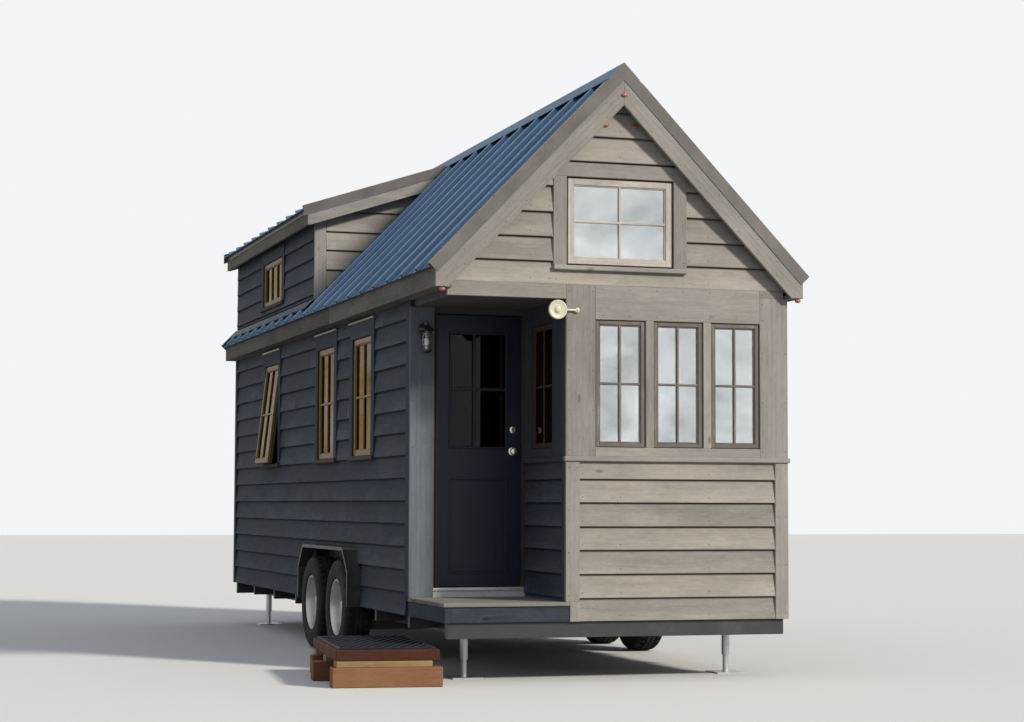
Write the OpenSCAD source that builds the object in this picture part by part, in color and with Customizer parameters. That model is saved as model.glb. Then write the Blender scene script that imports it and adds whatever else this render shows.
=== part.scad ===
// Tiny house on wheels with a corner porch, a steep ribbed metal roof and shed dormers.
// The house stands along Y: the porch end faces -Y and the drawbar reaches towards +Y.
// It is laid out from the middle of its front wall at ground level, and moved at the end
// so that the origin is under the middle of the whole object.

/* [Body] */
// Width across the siding of the two long walls
body_w = 2326; // [2200:1:2440]
// Length of the house from the front wall to the rear wall
body_l = 7340; // [6800:10:7800]
// Height of the ridge cap above the ground
ridge_h = 3960; // [3850:10:4110]
// Height of the foot of the walls above the ground
wall_foot = 376; // [340:1:420]
// Thickness of a framed wall with its inner lining
wall_t = 105; // [90:1:140]
// Thickness of the siding boards
siding_t = 18; // [12:1:22]
// Gap between the wall frame and the outer line of the siding
skin_t = 22; // [22:1:26]
// Height of the inner floor
floor_top = 555; // [530:1:560]

/* [Roof] */
// Pitch of the main roof in degrees
roof_pitch = 46; // [44:0.5:47]
// Pitch of the dormer roofs in degrees
dormer_pitch = 18; // [15:0.5:20]
// Overhang of the eaves past the siding of the long walls
eave_over = 135; // [110:1:147]
// Overhang of the roof past the front and rear walls
gable_over = 75; // [60:1:100]
// Thickness of the main roof deck with its rafters
deck_t = 100; // [80:1:120]
// Thickness of the dormer roof deck
dormer_deck_t = 75; // [60:1:90]
// Spacing of the ribs in the metal sheets
rib_pitch = 381; // [300:1:420]
// Height of a rib
rib_h = 25; // [15:1:32]
// Width of a rib at its foot
rib_foot = 46; // [36:1:60]
// Width of a rib at its top
rib_top = 20; // [12:1:30]
// Distance of the first rib from the front wall
rib_first = 270; // [200:1:300]
// Thickness of the metal sheet as modelled
sheet_t = 2; // [1:0.5:3]
// Distance of the dormer cheek from the front wall
dormer_y = 3915; // [3600:1:4200]
// Overhang of the dormer roof in front of its cheek
dormer_over = 150; // [100:1:200]
// Distance from the centre line at which the dormer sheets leave the main slope
dormer_head_x = 67; // [60:1:80]
// Overhang of the dormer roofs past the siding
dormer_out = 123; // [100:1:140]

/* [Porch] */
// Width of the porch from the left siding to the bay
porch_w = 799; // [760:1:860]
// Depth of the porch to the end of the left wall
porch_d = 855; // [780:1:920]
// Height of the porch deck
deck_top = 500; // [470:1:520]
// Thickness of the deck boards
board_t = 25; // [20:1:32]
// Drop from the wall plate to the foot of the porch beams
beam_drop = 166; // [150:1:180]
// Depth of the porch beams
beam_h = 120; // [110:1:135]

/* [Door] */
// Height of the door frame's head between the leaf and the porch beams
door_head = 40; // [30:1:60]
// Height of the knob above the inner floor
knob_rise = 917; // [880:1:960]
// Thickness of the door leaf
door_t = 44; // [35:1:48]
// Gap between the door leaf and its frame
door_gap = 6; // [5:0.5:8]
// Setback of the door face behind the end of the left wall
door_setback = 75; // [70:1:90]
// Width of the stiles and top rail of the door
door_stile = 108; // [90:1:120]

/* [Windows] */
// Width of the posts between the three windows in the front of the bay
bay_mullion = 54; // [45:1:70]
// Distance from each corner of the bay to its nearest window
bay_end = 192; // [180:1:220]
// Height of the bay windows
bay_win_h = 818; // [780:1:840]
// Drop from the wall plate to the heads of the bay windows
bay_head_drop = 293; // [280:1:320]
// Width of the windows in the long walls
side_win_w = 570; // [520:1:620]
// Height of the windows in the long walls
side_win_h = 860; // [800:1:880]
// Drop from the wall plate to the heads of the windows in the long walls
side_head_drop = 271; // [262:1:300]
// Width of the gable window
gable_win_w = 735; // [690:1:760]
// Height of the gable window
gable_win_h = 574; // [540:1:590]
// Rise from the wall plate to the foot of the gable window
gable_win_rise = 49; // [40:1:60]
// Width of the dormer windows
dormer_win_w = 820; // [700:1:900]
// Rise from the main roof's sheet at the dormer wall to the foot of the dormer windows
dormer_win_rise = 72; // [60:1:90]
// Drop from the outer edge of the dormer roofs to the heads of their windows
dormer_head_drop = 216; // [205:1:230]
// Width of the boards round the windows
casing_w = 90; // [70:1:100]
// Thickness of the trim boards
trim_t = 28; // [24:1:34]
// Width of the sash members
sash_w = 38; // [30:1:45]
// Depth of the sashes
sash_t = 40; // [35:1:50]
// Tilt of the open window in degrees
awning_tilt = 6.5; // [4:0.5:9]

/* [Running gear] */
// Radius of the tyres
tyre_r = 355; // [340:1:360]
// Width of the tyres
tyre_w = 205; // [185:1:215]
// Spacing of the two axles
axle_pitch = 860; // [820:1:900]
// Distance of the middle of the axles from the front wall
axle_y = 3100; // [2900:1:3400]
// Height of the frame rails
rail_h = 100; // [80:1:110]
// Length of the drawbar past the rear wall
drawbar_l = 1180; // [1000:1:1400]

/* [Step] */
// Width of the step's planks
step_w = 640; // [600:1:700]
// Depth of the step along the house
step_d = 1250; // [1000:1:1300]
// Angle by which the step stands askew to the house
step_turn = 6; // [0:1:8]
// Height of the sleepers at the bottom of the step
sleeper_h = 122; // [90:1:130]
// Height of the top planks of the step
plank_h = 68; // [50:1:70]

/* [Hidden] */

$fn = 48;

// Main lines of the walls
half_w = body_w / 2;
frame_x = half_w - skin_t;
inner_x = frame_x - wall_t;
front_y = skin_t;
rear_y = body_l - skin_t;
bay_x = -half_w + porch_w;
bay_frame_x = bay_x + skin_t;
wall_end_y = porch_d + skin_t;
skin_out = frame_x + siding_t;

// Lines of the roof: a lift is measured square to the sheet, up from its pan
cap_t = 3;
cap_leg = 150;
pan_apex = ridge_h - (rib_h + cap_t) / cos(roof_pitch);
eave_x = half_w + eave_over;
dormer_edge_x = half_w + dormer_out;
dormer_apex = pan_apex - dormer_head_x * (tan(roof_pitch) - tan(dormer_pitch));
dormer_edge_h = dormer_apex - dormer_edge_x * tan(dormer_pitch);
flash_lift = rib_h + cap_t;
flash_t = 3;
flash_face = 80;
flash_cover = 58;
face_foot = flash_lift - flash_face;
rake_w = 113;
dormer_rake_w = 85;
rake_t = 25;
fascia_x = eave_x - 45;
roof_tip_u = (eave_x - flash_lift * sin(roof_pitch)) / cos(roof_pitch);
fascia_t = 25;
dormer_fascia_x = dormer_edge_x - 39;
dormer_rib_x = cap_leg * cos(roof_pitch) + 9;
dormer_back = dormer_y + wall_t;
// Levels of the layers under the sheets, with a little play where faces meet on a slope
play = 0.1;
// Height over the pan at which siding stops above a roof sheet
siding_lift = rib_h + 4;
deck_head = -sheet_t - play;
deck_foot = -sheet_t - deck_t;
wall_head = deck_foot - play;
dormer_foot = -sheet_t - dormer_deck_t;
dormer_wall_head = dormer_foot - play;

// Heights that hang from the wall plate, where the long walls meet the roof deck
plate_z = slope_z(frame_x, deck_foot);
fascia_drop = 121;
frieze_drop = 74;
fascia_foot = plate_z - fascia_drop;
frieze_z = plate_z - frieze_drop;
beam_bottom = plate_z - beam_drop;
beam_top = beam_bottom + beam_h;
side_win_z = plate_z - side_head_drop - side_win_h;
bay_win_z = plate_z - bay_head_drop - bay_win_h;
gable_win_z = plate_z + gable_win_rise;
dormer_win_z = slope_z(frame_x, siding_lift) + dormer_win_rise;
dormer_win_h = dormer_edge_h - dormer_head_drop - dormer_win_z;
apron_h = 90;
band_z = bay_win_z - apron_h;
roof_front = -gable_over;
roof_rear = body_l + gable_over;
far = 6000;

// The door and its frame
jamb_left = -inner_x + 52;
jamb_right = bay_x + 1;
leaf_left = jamb_left + door_gap + 3;
leaf_right = jamb_right - door_gap - 1;
door_face = porch_d + door_setback;
door_back = door_face + door_t;
sill_top = floor_top + 6;
leaf_foot = sill_top + door_gap;
leaf_top = beam_bottom - door_head;
door_h = leaf_top - leaf_foot;
jamb_back = wall_end_y + wall_t;
stop_depth = door_face - door_gap + 1 - wall_end_y;
stop_w = 12;
hinge_x = leaf_left - 3;
hinge_y = door_back + 8;
pin_r = 5;
knuckle_r = 8;
knuckle_h = 30;
hinge_in = 180;
hinge_heights = [leaf_foot + hinge_in, leaf_foot + door_h / 2, leaf_top - hinge_in];
knob_x = leaf_right - 60;
knob_h = floor_top + knob_rise;
bolt_rise = 145;
bolt_h = knob_h + bolt_rise;
lite_foot = knob_h + 26;
top_rail_h = 128;
lite_top = leaf_top - top_rail_h;
panel_foot = leaf_foot + 93;
lock_rail_h = 213;
panel_top = lite_foot - lock_rail_h;
panel_recess = 12;

// Windows of the long walls, as the distance of each middle from the front wall
left_windows = [2235, 3420, 5585];
open_window = 2;
right_windows = [700, 2235, 3420, 5585];
dormer_win_y = 5595;
bay_side_win_y = 500;
bay_side_win_w = 440;
bay_mid_x = (bay_x + half_w) / 2;
bay_win_w = (half_w - bay_x - 2 * bay_end - 2 * bay_mullion) / 3;
bay_win_pitch = bay_win_w + bay_mullion;

// The wheels stand outside the inner lining, under an arch in each long wall
tyre_in = inner_x + 12;
fender_t = 4;
fender_out = tyre_in + tyre_w + 9;
fender_top = 2 * tyre_r + 70;
fender_run = axle_pitch / 2 + tyre_r + 55;
rim_r = 205;
rail_in = 156;
rail_x = inner_x - rail_in;
rail_w = 60;
rail_z = wall_foot - rail_h;
tube = 76;
arm_reach = 150;
coupler_y = body_l + drawbar_l;
tongue_jack_back = 400;
tongue_jack_y = coupler_y - tongue_jack_back;
corner_jack_in = 418;
tongue_tube_r = 30;
plate_t = 8;

// The step stands beside the porch, turned about its front left corner
step_left = -half_w - 712;
step_front = -100;
sleeper_w = 140;
sleeper_over = 20;
middle_over = 75;
middle_sleeper = (step_d - sleeper_w) / 2;
mid_h = 40;
mid_inset = 3;
mid_short = 45;
mat_t = 14;
mat_inset = 22;
step_top = sleeper_h + mid_h + plank_h;

// Place of the whole: the origin goes under the middle of the box round it
box_left = min(step_x(-sleeper_over, 0), step_x(-middle_over, middle_sleeper));
box_front = step_y(step_w + sleeper_over, 0);
box_back = coupler_y;
shift = [-(box_left + eave_x) / 2, -(box_front + box_back) / 2, 0];

// Place of a point of the step, counted across it and along it from its front left corner
function step_x(across, along) = step_left + across * cos(step_turn) + along * sin(step_turn);
function step_y(across, along) = step_front - across * sin(step_turn) + along * cos(step_turn);

function slope_z(x, lift) = pan_apex + lift / cos(roof_pitch) - abs(x) * tan(roof_pitch);
function dormer_z(x, lift) = dormer_apex + lift / cos(dormer_pitch) - abs(x) * tan(dormer_pitch);

// Where a dormer plane at one lift meets a main roof plane at another
function meet_x(dormer_lift, main_lift) = (slope_z(0, main_lift) - dormer_z(0, dormer_lift))
    / (tan(roof_pitch) - tan(dormer_pitch));

// Moves a shape from the front wall's frame to the frame of the whole
module place() { translate(shift) children(); }
module box(lo, hi) { translate(lo) cube(hi - lo); }
// Draws a shape at the right and again, mirrored, at the left
module both_sides() { children(); mirror([1, 0, 0]) children(); }
// Extrudes an outline in X and Z along the house
module along(y0, y1) { translate([0, y1, 0]) rotate([90, 0, 0]) linear_extrude(y1 - y0) children(); }
// Extrudes an outline in Y and Z across the house
module across(x0, x1) { translate([x0, 0, 0]) rotate([90, 0, 90]) linear_extrude(x1 - x0) children(); }
// Lays a shape on the right slope, with X down the slope from the ridge and Z square to it
module on_slope() { translate([0, 0, pan_apex]) rotate([0, roof_pitch, 0]) children(); }
module on_dormer() { translate([0, 0, dormer_apex]) rotate([0, dormer_pitch, 0]) children(); }
module right_half() { intersection() { children(); box([0, -far, -far], [far, 2 * far, far]); } }
// A window's hole, centred at (0, 0) across the wall, from its foot upwards
module hole(w, h) { translate([-w / 2, -far / 4, 0]) cube([w, far / 2, h]); }

module rail_bar(side) {
    web = 6;
    y0 = front_y + 50;
    x0 = side > 0 ? rail_x : -rail_x - rail_w;
    difference() {
        box([x0, y0, rail_z], [x0 + rail_w, rear_y - 50, wall_foot]);
        box([side > 0 ? x0 - 1 : x0 + web, y0 - 1, rail_z + web],
            [side > 0 ? x0 + rail_w - web : x0 + rail_w + 1, rear_y, wall_foot - web]);
    }
}

module trailer_rails() {
    color("dimgray") place() for (side = [-1, 1]) rail_bar(side);
}

module cross_members() {
    gap = 0.3;
    spread = (rear_y - front_y) / 8;
    clear_wheels = fender_run + 60;
    color("dimgray") place() {
        for (end = [front_y, rear_y - 50])
            box([-frame_x, end, rail_z], [frame_x, end + 50, wall_foot]);
        for (i = [1:7]) {
            y = front_y + i * spread;
            box([-rail_x + gap, y, rail_z + 20], [rail_x - gap, y + 40, wall_foot]);
            if (abs(y + 20 - axle_y) > clear_wheels)
                both_sides() box([rail_x + rail_w, y, rail_z + 20], [frame_x, y + 40, wall_foot]);
        }
    }
}

module drawbar() {
    start = rear_y;
    coupler_l = 260;
    coupler_r = 60;
    socket_r = 26;
    socket_y = coupler_y - coupler_r;
    run = coupler_y - coupler_l - start;
    bar_in = 180;
    foot_x = rail_x - bar_in;
    tip_x = 60;
    bar_w = 52;
    lap = 60;
    plate_y0 = tongue_jack_y - 60;
    plate_y1 = tongue_jack_y + 60;
    // Half the width between the middles of the two bars at a distance along the house
    function bar_mid(y) = tip_x - bar_w / 2 + (foot_x - tip_x) * (start + run - y) / run;
    color("dimgray") place() {
        both_sides() translate([0, 0, rail_z]) linear_extrude(rail_h)
            polygon([[foot_x - bar_w, start], [foot_x, start],
                [tip_x, start + run], [tip_x - bar_w, start + run]]);
        // Coupler with the socket that drops over the ball
        difference() {
            union() {
                box([-coupler_r, start + run - lap, rail_z], [coupler_r, socket_y, rail_z + rail_h]);
                translate([0, socket_y, rail_z]) cylinder(h = rail_h, r = coupler_r);
            }
            translate([0, socket_y, rail_z - 1]) cylinder(h = 60, r = socket_r);
        }
        // Plate between the bars, flush with their top, that carries the tongue jack
        translate([0, 0, wall_foot - plate_t]) linear_extrude(plate_t) difference() {
            polygon([[-bar_mid(plate_y0), plate_y0], [bar_mid(plate_y0), plate_y0],
                [bar_mid(plate_y1), plate_y1], [-bar_mid(plate_y1), plate_y1]]);
            translate([0, tongue_jack_y]) circle(r = tongue_tube_r + 0.3);
        }
    }
}

// A jack on its foot plate: a screw that slides in a tube
module jack(x, y, tube_r, top) {
    foot_w = 200;
    foot_t = 10;
    tube_foot = 120;
    translate([x, y, 0]) {
        translate([-foot_w / 2, -foot_w / 2, 0]) cube([foot_w, foot_w, foot_t]);
        translate([0, 0, foot_t]) cylinder(h = tube_foot, r = tube_r - 7);
        translate([0, 0, tube_foot]) cylinder(h = top - tube_foot, r = tube_r);
    }
}

module jacks() {
    head_rise = 330;
    head_z = wall_foot + head_rise;
    head_h = 24;
    head_r = 34;
    flange_r = 45;
    crank_l = 130;
    crank_r = 7;
    color("silver") place() {
        for (y = [front_y + corner_jack_in, rear_y - corner_jack_in]) both_sides()
            jack(rail_x + rail_w / 2, y, 26, rail_z);
        jack(0, tongue_jack_y, tongue_tube_r, head_z);
        translate([0, tongue_jack_y, 0]) {
            translate([0, 0, wall_foot]) cylinder(h = 8, r = flange_r);
            translate([0, 0, head_z]) cylinder(h = head_h, r = head_r);
            translate([0, 0, head_z + head_h / 2]) rotate([0, 90, 0]) cylinder(h = crank_l, r = crank_r);
        }
    }
}

module axles() {
    arm_w = 26;
    spindle_r = 19;
    arm_x = inner_x - 46;
    nose = 34;
    color("darkslategray") place() for (s = [-1, 1]) {
        y = axle_y + s * axle_pitch / 2;
        tube_y = y - arm_reach;
        box([-arm_x, tube_y - tube / 2, rail_z - tube], [arm_x, tube_y + tube / 2, rail_z]);
        both_sides() {
            // Trailing arm from the tube to the spindle
            across(arm_x, arm_x + arm_w) polygon([
                [tube_y - tube / 2, rail_z - tube], [tube_y + tube / 2, rail_z - tube],
                [y + nose, tyre_r - nose / 2], [y + nose / 2, tyre_r + nose / 2],
                [y - nose, tyre_r + nose / 2], [tube_y - tube / 2, rail_z]]);
            translate([arm_x + arm_w, y, tyre_r]) rotate([0, 90, 0])
                cylinder(h = tyre_in + tyre_w / 2 - arm_x - arm_w, r = spindle_r);
        }
    }
}

module tyres() {
    shoulder = 28;
    color("black") place() for (s = [-1, 1]) both_sides()
        translate([tyre_in, axle_y + s * axle_pitch / 2, tyre_r]) rotate([0, 90, 0])
            rotate_extrude($fn = 72) polygon([
                [rim_r, 12], [rim_r + 40, 0], [tyre_r - shoulder, 4], [tyre_r - 6, shoulder],
                [tyre_r, shoulder + 20], [tyre_r, tyre_w - shoulder - 20], [tyre_r - 6, tyre_w - shoulder],
                [tyre_r - shoulder, tyre_w - 4], [rim_r + 40, tyre_w], [rim_r, tyre_w - 12]]);
}

module wheel_rims() {
    web_t = 8;
    lip = 14;
    color("lightgray") place() for (s = [-1, 1]) both_sides()
        translate([tyre_in, axle_y + s * axle_pitch / 2, tyre_r]) rotate([0, 90, 0]) {
            difference() {
                cylinder(h = tyre_w - 12, r = rim_r);
                translate([0, 0, -1]) cylinder(h = tyre_w + 2, r = rim_r - lip);
            }
            translate([0, 0, tyre_w / 2]) cylinder(h = web_t, r = rim_r - lip);
            translate([0, 0, tyre_w / 2 + web_t]) cylinder(h = 40, r = 50);
        }
}

// Outline of the wheel arch, moved outwards all round by grow and reaching below the walls by drop
module arch_outline(grow, drop = 1) {
    corner = 160;
    run = fender_run + grow;
    bend = grow * tan(22.5);
    low = wall_foot - drop;
    shoulder = fender_top - corner + bend;
    crown = fender_run - corner + bend;
    polygon([
        [axle_y - run, low], [axle_y - run, shoulder], [axle_y - crown, fender_top + grow],
        [axle_y + crown, fender_top + grow], [axle_y + run, shoulder], [axle_y + run, low]]);
}

module fenders() {
    lip = 20;
    color("dimgray") place() both_sides() difference() {
        union() {
            across(inner_x, fender_out) arch_outline(0);
            across(fender_out - fender_t, fender_out) arch_outline(lip);
        }
        across(inner_x + fender_t, fender_out + 1) arch_outline(-fender_t, 2);
    }
}

module floor_plan() {
    polygon([
        [-inner_x, jamb_back], [bay_frame_x + wall_t, jamb_back], [bay_frame_x + wall_t, front_y + wall_t],
        [inner_x, front_y + wall_t], [inner_x, rear_y - wall_t], [-inner_x, rear_y - wall_t]]);
}

module floor_slab() {
    color("burlywood") place() translate([0, 0, wall_foot])
        linear_extrude(floor_top - wall_foot) floor_plan();
}

module porch_joists() {
    joist = 38;
    gap = 0.3;
    top = deck_top - board_t;
    color("slategray") place() {
        box([-half_w, 0, wall_foot], [-half_w + joist, wall_end_y, top]);
        box([-half_w + joist + gap, 0, wall_foot], [bay_frame_x, joist, top]);
        for (i = [1, 2]) {
            x = -half_w + i * (bay_frame_x + half_w) / 3;
            box([x - joist / 2, joist + gap, wall_foot], [x + joist / 2, wall_end_y, top]);
        }
    }
}

module porch_deck() {
    lip = 12;
    color("rosybrown") place()
        box([-half_w - lip, -lip, deck_top - board_t], [bay_frame_x, wall_end_y, deck_top]);
}

// Cross-section of a long wall under the main roof
module wall_section(foot) {
    polygon([[inner_x, foot], [frame_x, foot], [frame_x, slope_z(frame_x, wall_head)],
        [inner_x, slope_z(inner_x, wall_head)]]);
}

module side_holes(places, w, h, foot) {
    for (y = places) translate([0, y, foot]) rotate([0, 0, 90]) hole(w, h);
}

module long_wall(start, places) {
    difference() {
        along(start, rear_y) wall_section(wall_foot);
        side_holes(places, side_win_w, side_win_h, side_win_z);
        across(0, far) arch_outline(0);
    }
}

module left_wall() { color("tan") place() mirror([1, 0, 0]) long_wall(wall_end_y, left_windows); }
module right_wall() { color("tan") place() long_wall(front_y, right_windows); }

module rear_wall() {
    color("tan") place() difference() {
        along(rear_y - wall_t, rear_y) polygon([[-inner_x, wall_foot], [inner_x, wall_foot],
            [inner_x, dormer_z(inner_x, dormer_wall_head)], [0, dormer_z(0, dormer_wall_head)],
            [-inner_x, dormer_z(inner_x, dormer_wall_head)]]);
        translate([0, rear_y, side_win_z]) hole(side_win_w, side_win_h);
        translate([0, rear_y, gable_win_z]) hole(gable_win_w, gable_win_h);
    }
}

module bay_holes() {
    for (i = [-1:1]) translate([bay_mid_x + i * bay_win_pitch, 0, bay_win_z]) hole(bay_win_w, bay_win_h);
}

module bay_wall() {
    color("tan") place() difference() {
        box([bay_frame_x + wall_t, front_y, wall_foot], [inner_x, front_y + wall_t, beam_top]);
        bay_holes();
    }
}

module bay_side_wall() {
    color("tan") place() difference() {
        box([bay_frame_x, front_y, wall_foot], [bay_frame_x + wall_t, jamb_back, beam_top]);
        translate([bay_frame_x - wall_t, bay_side_win_y - bay_side_win_w / 2, bay_win_z])
            cube([3 * wall_t, bay_side_win_w, bay_win_h]);
    }
}

module gable_wall() {
    color("tan") place() difference() {
        along(front_y, front_y + wall_t) polygon([[-inner_x, beam_top], [inner_x, beam_top],
            [inner_x, slope_z(inner_x, wall_head)], [0, slope_z(0, wall_head)],
            [-inner_x, slope_z(inner_x, wall_head)]]);
        translate([0, 0, gable_win_z]) hole(gable_win_w, gable_win_h);
    }
}

module porch_beams() {
    color("gray") place() {
        box([-inner_x, front_y, beam_bottom], [bay_frame_x, front_y + wall_t, beam_top]);
        mirror([1, 0, 0]) along(front_y, wall_end_y) wall_section(beam_bottom);
    }
}

module porch_ceiling() {
    color("dimgray") place()
        box([-inner_x, front_y + wall_t, beam_bottom], [bay_frame_x, wall_end_y, beam_top]);
}

module door_header() {
    head = leaf_top + door_gap;
    color("dimgray") place()
        box([-inner_x, wall_end_y, head], [bay_frame_x, jamb_back, beam_top]);
}

module door_jambs() {
    head = leaf_top + door_gap;
    color("saddlebrown") place() {
        difference() {
            box([-inner_x, wall_end_y, sill_top], [jamb_left, jamb_back, head]);
            // Rebate for the hinges on the inner edge
            box([hinge_x - knuckle_r - 2, door_back - 2, sill_top - 1],
                [jamb_left + 1, jamb_back + 1, head + 1]);
        }
        box([jamb_left, wall_end_y, sill_top], [jamb_left + stop_w, wall_end_y + stop_depth, head]);
        box([jamb_right, wall_end_y, sill_top], [bay_frame_x, jamb_back, head]);
        box([jamb_right - stop_w, wall_end_y, sill_top], [jamb_right, wall_end_y + stop_depth, head]);
    }
}

module door_sill() {
    color("whitesmoke") place()
        box([-inner_x, wall_end_y, wall_foot], [bay_frame_x, jamb_back, sill_top]);
}

module dormer_walls() {
    color("tan") place() both_sides() difference() {
        along(dormer_back, rear_y) polygon([
            [inner_x, slope_z(inner_x, deck_foot)], [frame_x, slope_z(frame_x, deck_foot)],
            [frame_x, dormer_z(frame_x, dormer_wall_head)], [inner_x, dormer_z(inner_x, dormer_wall_head)]]);
        side_holes([dormer_win_y], dormer_win_w, dormer_win_h, dormer_win_z);
    }
}

// Where the underside of the dormer deck meets the top of the main deck
cheek_in = meet_x(dormer_wall_head, -sheet_t);

module dormer_cheeks() {
    color("tan") place() both_sides() along(dormer_y, dormer_back) polygon([
        [cheek_in, slope_z(cheek_in, -sheet_t)], [frame_x, slope_z(frame_x, -sheet_t)],
        [frame_x, dormer_z(frame_x, dormer_wall_head)]]);
}

module main_deck() {
    out = fascia_x - fascia_t;
    along(roof_front + rake_t + flash_t, dormer_back) polygon([
        [0, slope_z(0, deck_head)], [out, slope_z(out, deck_head)],
        [out, slope_z(out, deck_foot)], [0, slope_z(0, deck_foot)]]);
}

module left_roof_deck() { color("burlywood") place() mirror([1, 0, 0]) main_deck(); }
module right_roof_deck() { color("burlywood") place() main_deck(); }

module eave_decks() {
    out = fascia_x - fascia_t;
    color("burlywood") place() both_sides() along(dormer_back, roof_rear - rake_t - flash_t) polygon([
        [frame_x, slope_z(frame_x, deck_head)], [out, slope_z(out, deck_head)],
        [out, slope_z(out, deck_foot)], [frame_x, slope_z(frame_x, deck_foot)]]);
}

// One rib: a trapezoid across the slope, run down it
module rib(y, u0, u1) {
    translate([u0, y, 0]) rotate([90, 0, 90]) linear_extrude(u1 - u0) polygon([
        [-rib_foot / 2, -sheet_t / 2], [rib_foot / 2, -sheet_t / 2],
        [rib_top / 2, rib_h], [-rib_top / 2, rib_h]]);
}

function rib_rows(y0, y1) = [for (i = [0:30]) let (y = rib_first + i * rib_pitch)
    if (y > y0 + rib_foot && y < y1 - rib_foot) y];

module main_sheet() {
    tip = roof_tip_u;
    wall_u = (frame_x + sheet_t * sin(roof_pitch) + play) / cos(roof_pitch);
    edge = rake_t + flash_t + 5;
    ridge_gap = 3;
    on_slope() {
        translate([ridge_gap, roof_front + flash_t, -sheet_t])
            cube([tip - ridge_gap, dormer_y - roof_front - flash_t, sheet_t]);
        translate([wall_u, dormer_y, -sheet_t]) cube([tip - wall_u, roof_rear - flash_t - dormer_y, sheet_t]);
        for (y = rib_rows(roof_front + edge, dormer_y)) rib(y, ridge_gap, tip);
        for (y = rib_rows(dormer_y, roof_rear - edge)) rib(y, wall_u, tip);
        rib(roof_front + flash_t + rib_foot / 2, ridge_gap, tip);
        rib(roof_rear - flash_t - rib_foot / 2, wall_u, tip);
    }
}

module left_roof_sheet() { color("slategray") place() mirror([1, 0, 0]) main_sheet(); }
module right_roof_sheet() { color("slategray") place() main_sheet(); }

module ridge_cap() {
    leg_x = cap_leg * cos(roof_pitch);
    color("slategray") place() along(roof_front, roof_rear) polygon([
        [0, slope_z(0, rib_h)], [leg_x, slope_z(leg_x, rib_h)], [leg_x, slope_z(leg_x, rib_h + cap_t)],
        [0, slope_z(0, rib_h + cap_t)], [-leg_x, slope_z(leg_x, rib_h + cap_t)],
        [-leg_x, slope_z(leg_x, rib_h)]]);
}

module dormer_roofs() {
    head = deck_head;
    foot = dormer_foot;
    out = dormer_fascia_x - fascia_t;
    // In front of the cheek the deck stops just above the main sheet
    over_x = meet_x(head, sheet_t);
    under_x = meet_x(foot, sheet_t);
    color("burlywood") place() both_sides() {
        along(dormer_back, roof_rear - flash_t - rake_t) polygon([
            [0, slope_z(0, head)], [dormer_head_x, slope_z(dormer_head_x, head)], [out, dormer_z(out, head)],
            [out, dormer_z(out, foot)], [0, dormer_z(0, foot)]]);
        along(dormer_y - dormer_over + rake_t, dormer_back) polygon([
            [over_x, dormer_z(over_x, head)], [out, dormer_z(out, head)],
            [out, dormer_z(out, foot)], [under_x, dormer_z(under_x, foot)]]);
    }
}

module dormer_sheets() {
    u0 = (dormer_head_x + 4) / cos(dormer_pitch);
    rib_u = dormer_rib_x / cos(dormer_pitch);
    tip = (dormer_edge_x - rib_h * sin(dormer_pitch)) / cos(dormer_pitch);
    y0 = dormer_y - dormer_over;
    y1 = roof_rear - flash_t;
    color("slategray") place() both_sides() on_dormer() {
        translate([u0, y0, -sheet_t]) cube([tip - u0, y1 - y0, sheet_t]);
        for (y = rib_rows(y0 + rib_foot, y1 - rib_foot)) rib(y, rib_u, tip);
        rib(y0 + rib_foot / 2, rib_u, tip);
        rib(y1 - rib_foot / 2, rib_u, tip);
    }
}

// A bar run down the whole slope and mitred where the two sides meet
module mitred(u1) {
    right_half() on_slope() translate([-120, 0, 0]) rotate([90, 0, 90]) linear_extrude(u1 + 120) children();
}

module rake_boards() {
    lo = face_foot - rake_w;
    foot_x = (slope_z(0, lo) - fascia_foot) / tan(roof_pitch);
    end_x = skin_out + 1;
    front = roof_front + flash_t;
    rear = roof_rear - flash_t;
    color("gray") place() both_sides() {
        // Cut plumb at the fascia and level at the foot
        along(front, front + rake_t) polygon([
            [0, slope_z(0, deck_head)], [fascia_x, slope_z(fascia_x, deck_head)], [fascia_x, fascia_foot],
            [foot_x, fascia_foot], [0, slope_z(0, lo)]]);
        // Short boards close the ends of the eaves at the rear
        along(rear - rake_t, rear) polygon([
            [end_x, slope_z(end_x, deck_head)], [fascia_x, slope_z(fascia_x, deck_head)],
            [fascia_x, fascia_foot], [end_x, fascia_foot]]);
    }
}

module rake_profile(y_out, inward) {
    polygon([[y_out, face_foot], [y_out + inward * flash_t, face_foot],
        [y_out + inward * flash_t, rib_h], [y_out + inward * flash_cover, rib_h],
        [y_out + inward * flash_cover, flash_lift], [y_out, flash_lift]]);
}

// Flashing up one end of the dormer roof, from beside the ridge cap to just past the sheets.
// Its inner end is given, because it dies into the main roof in front and is plumb at the rear.
module dormer_flashing(y_out, inward, inner_end) {
    out_x = dormer_edge_x - 4;
    in_x = dormer_rib_x;
    top_foot = rib_h + play;
    y_face = y_out + inward * flash_t;
    y_cover = y_out + inward * flash_cover;
    along(min(y_out, y_face), max(y_out, y_face)) polygon(concat([
        [in_x, dormer_z(in_x, flash_lift)], [out_x, dormer_z(out_x, flash_lift)],
        [out_x, dormer_z(out_x, face_foot)]], inner_end));
    along(min(y_out, y_cover), max(y_out, y_cover)) polygon([
        [in_x, dormer_z(in_x, flash_lift)], [out_x, dormer_z(out_x, flash_lift)],
        [out_x, dormer_z(out_x, top_foot)], [in_x, dormer_z(in_x, top_foot)]]);
}

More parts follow.
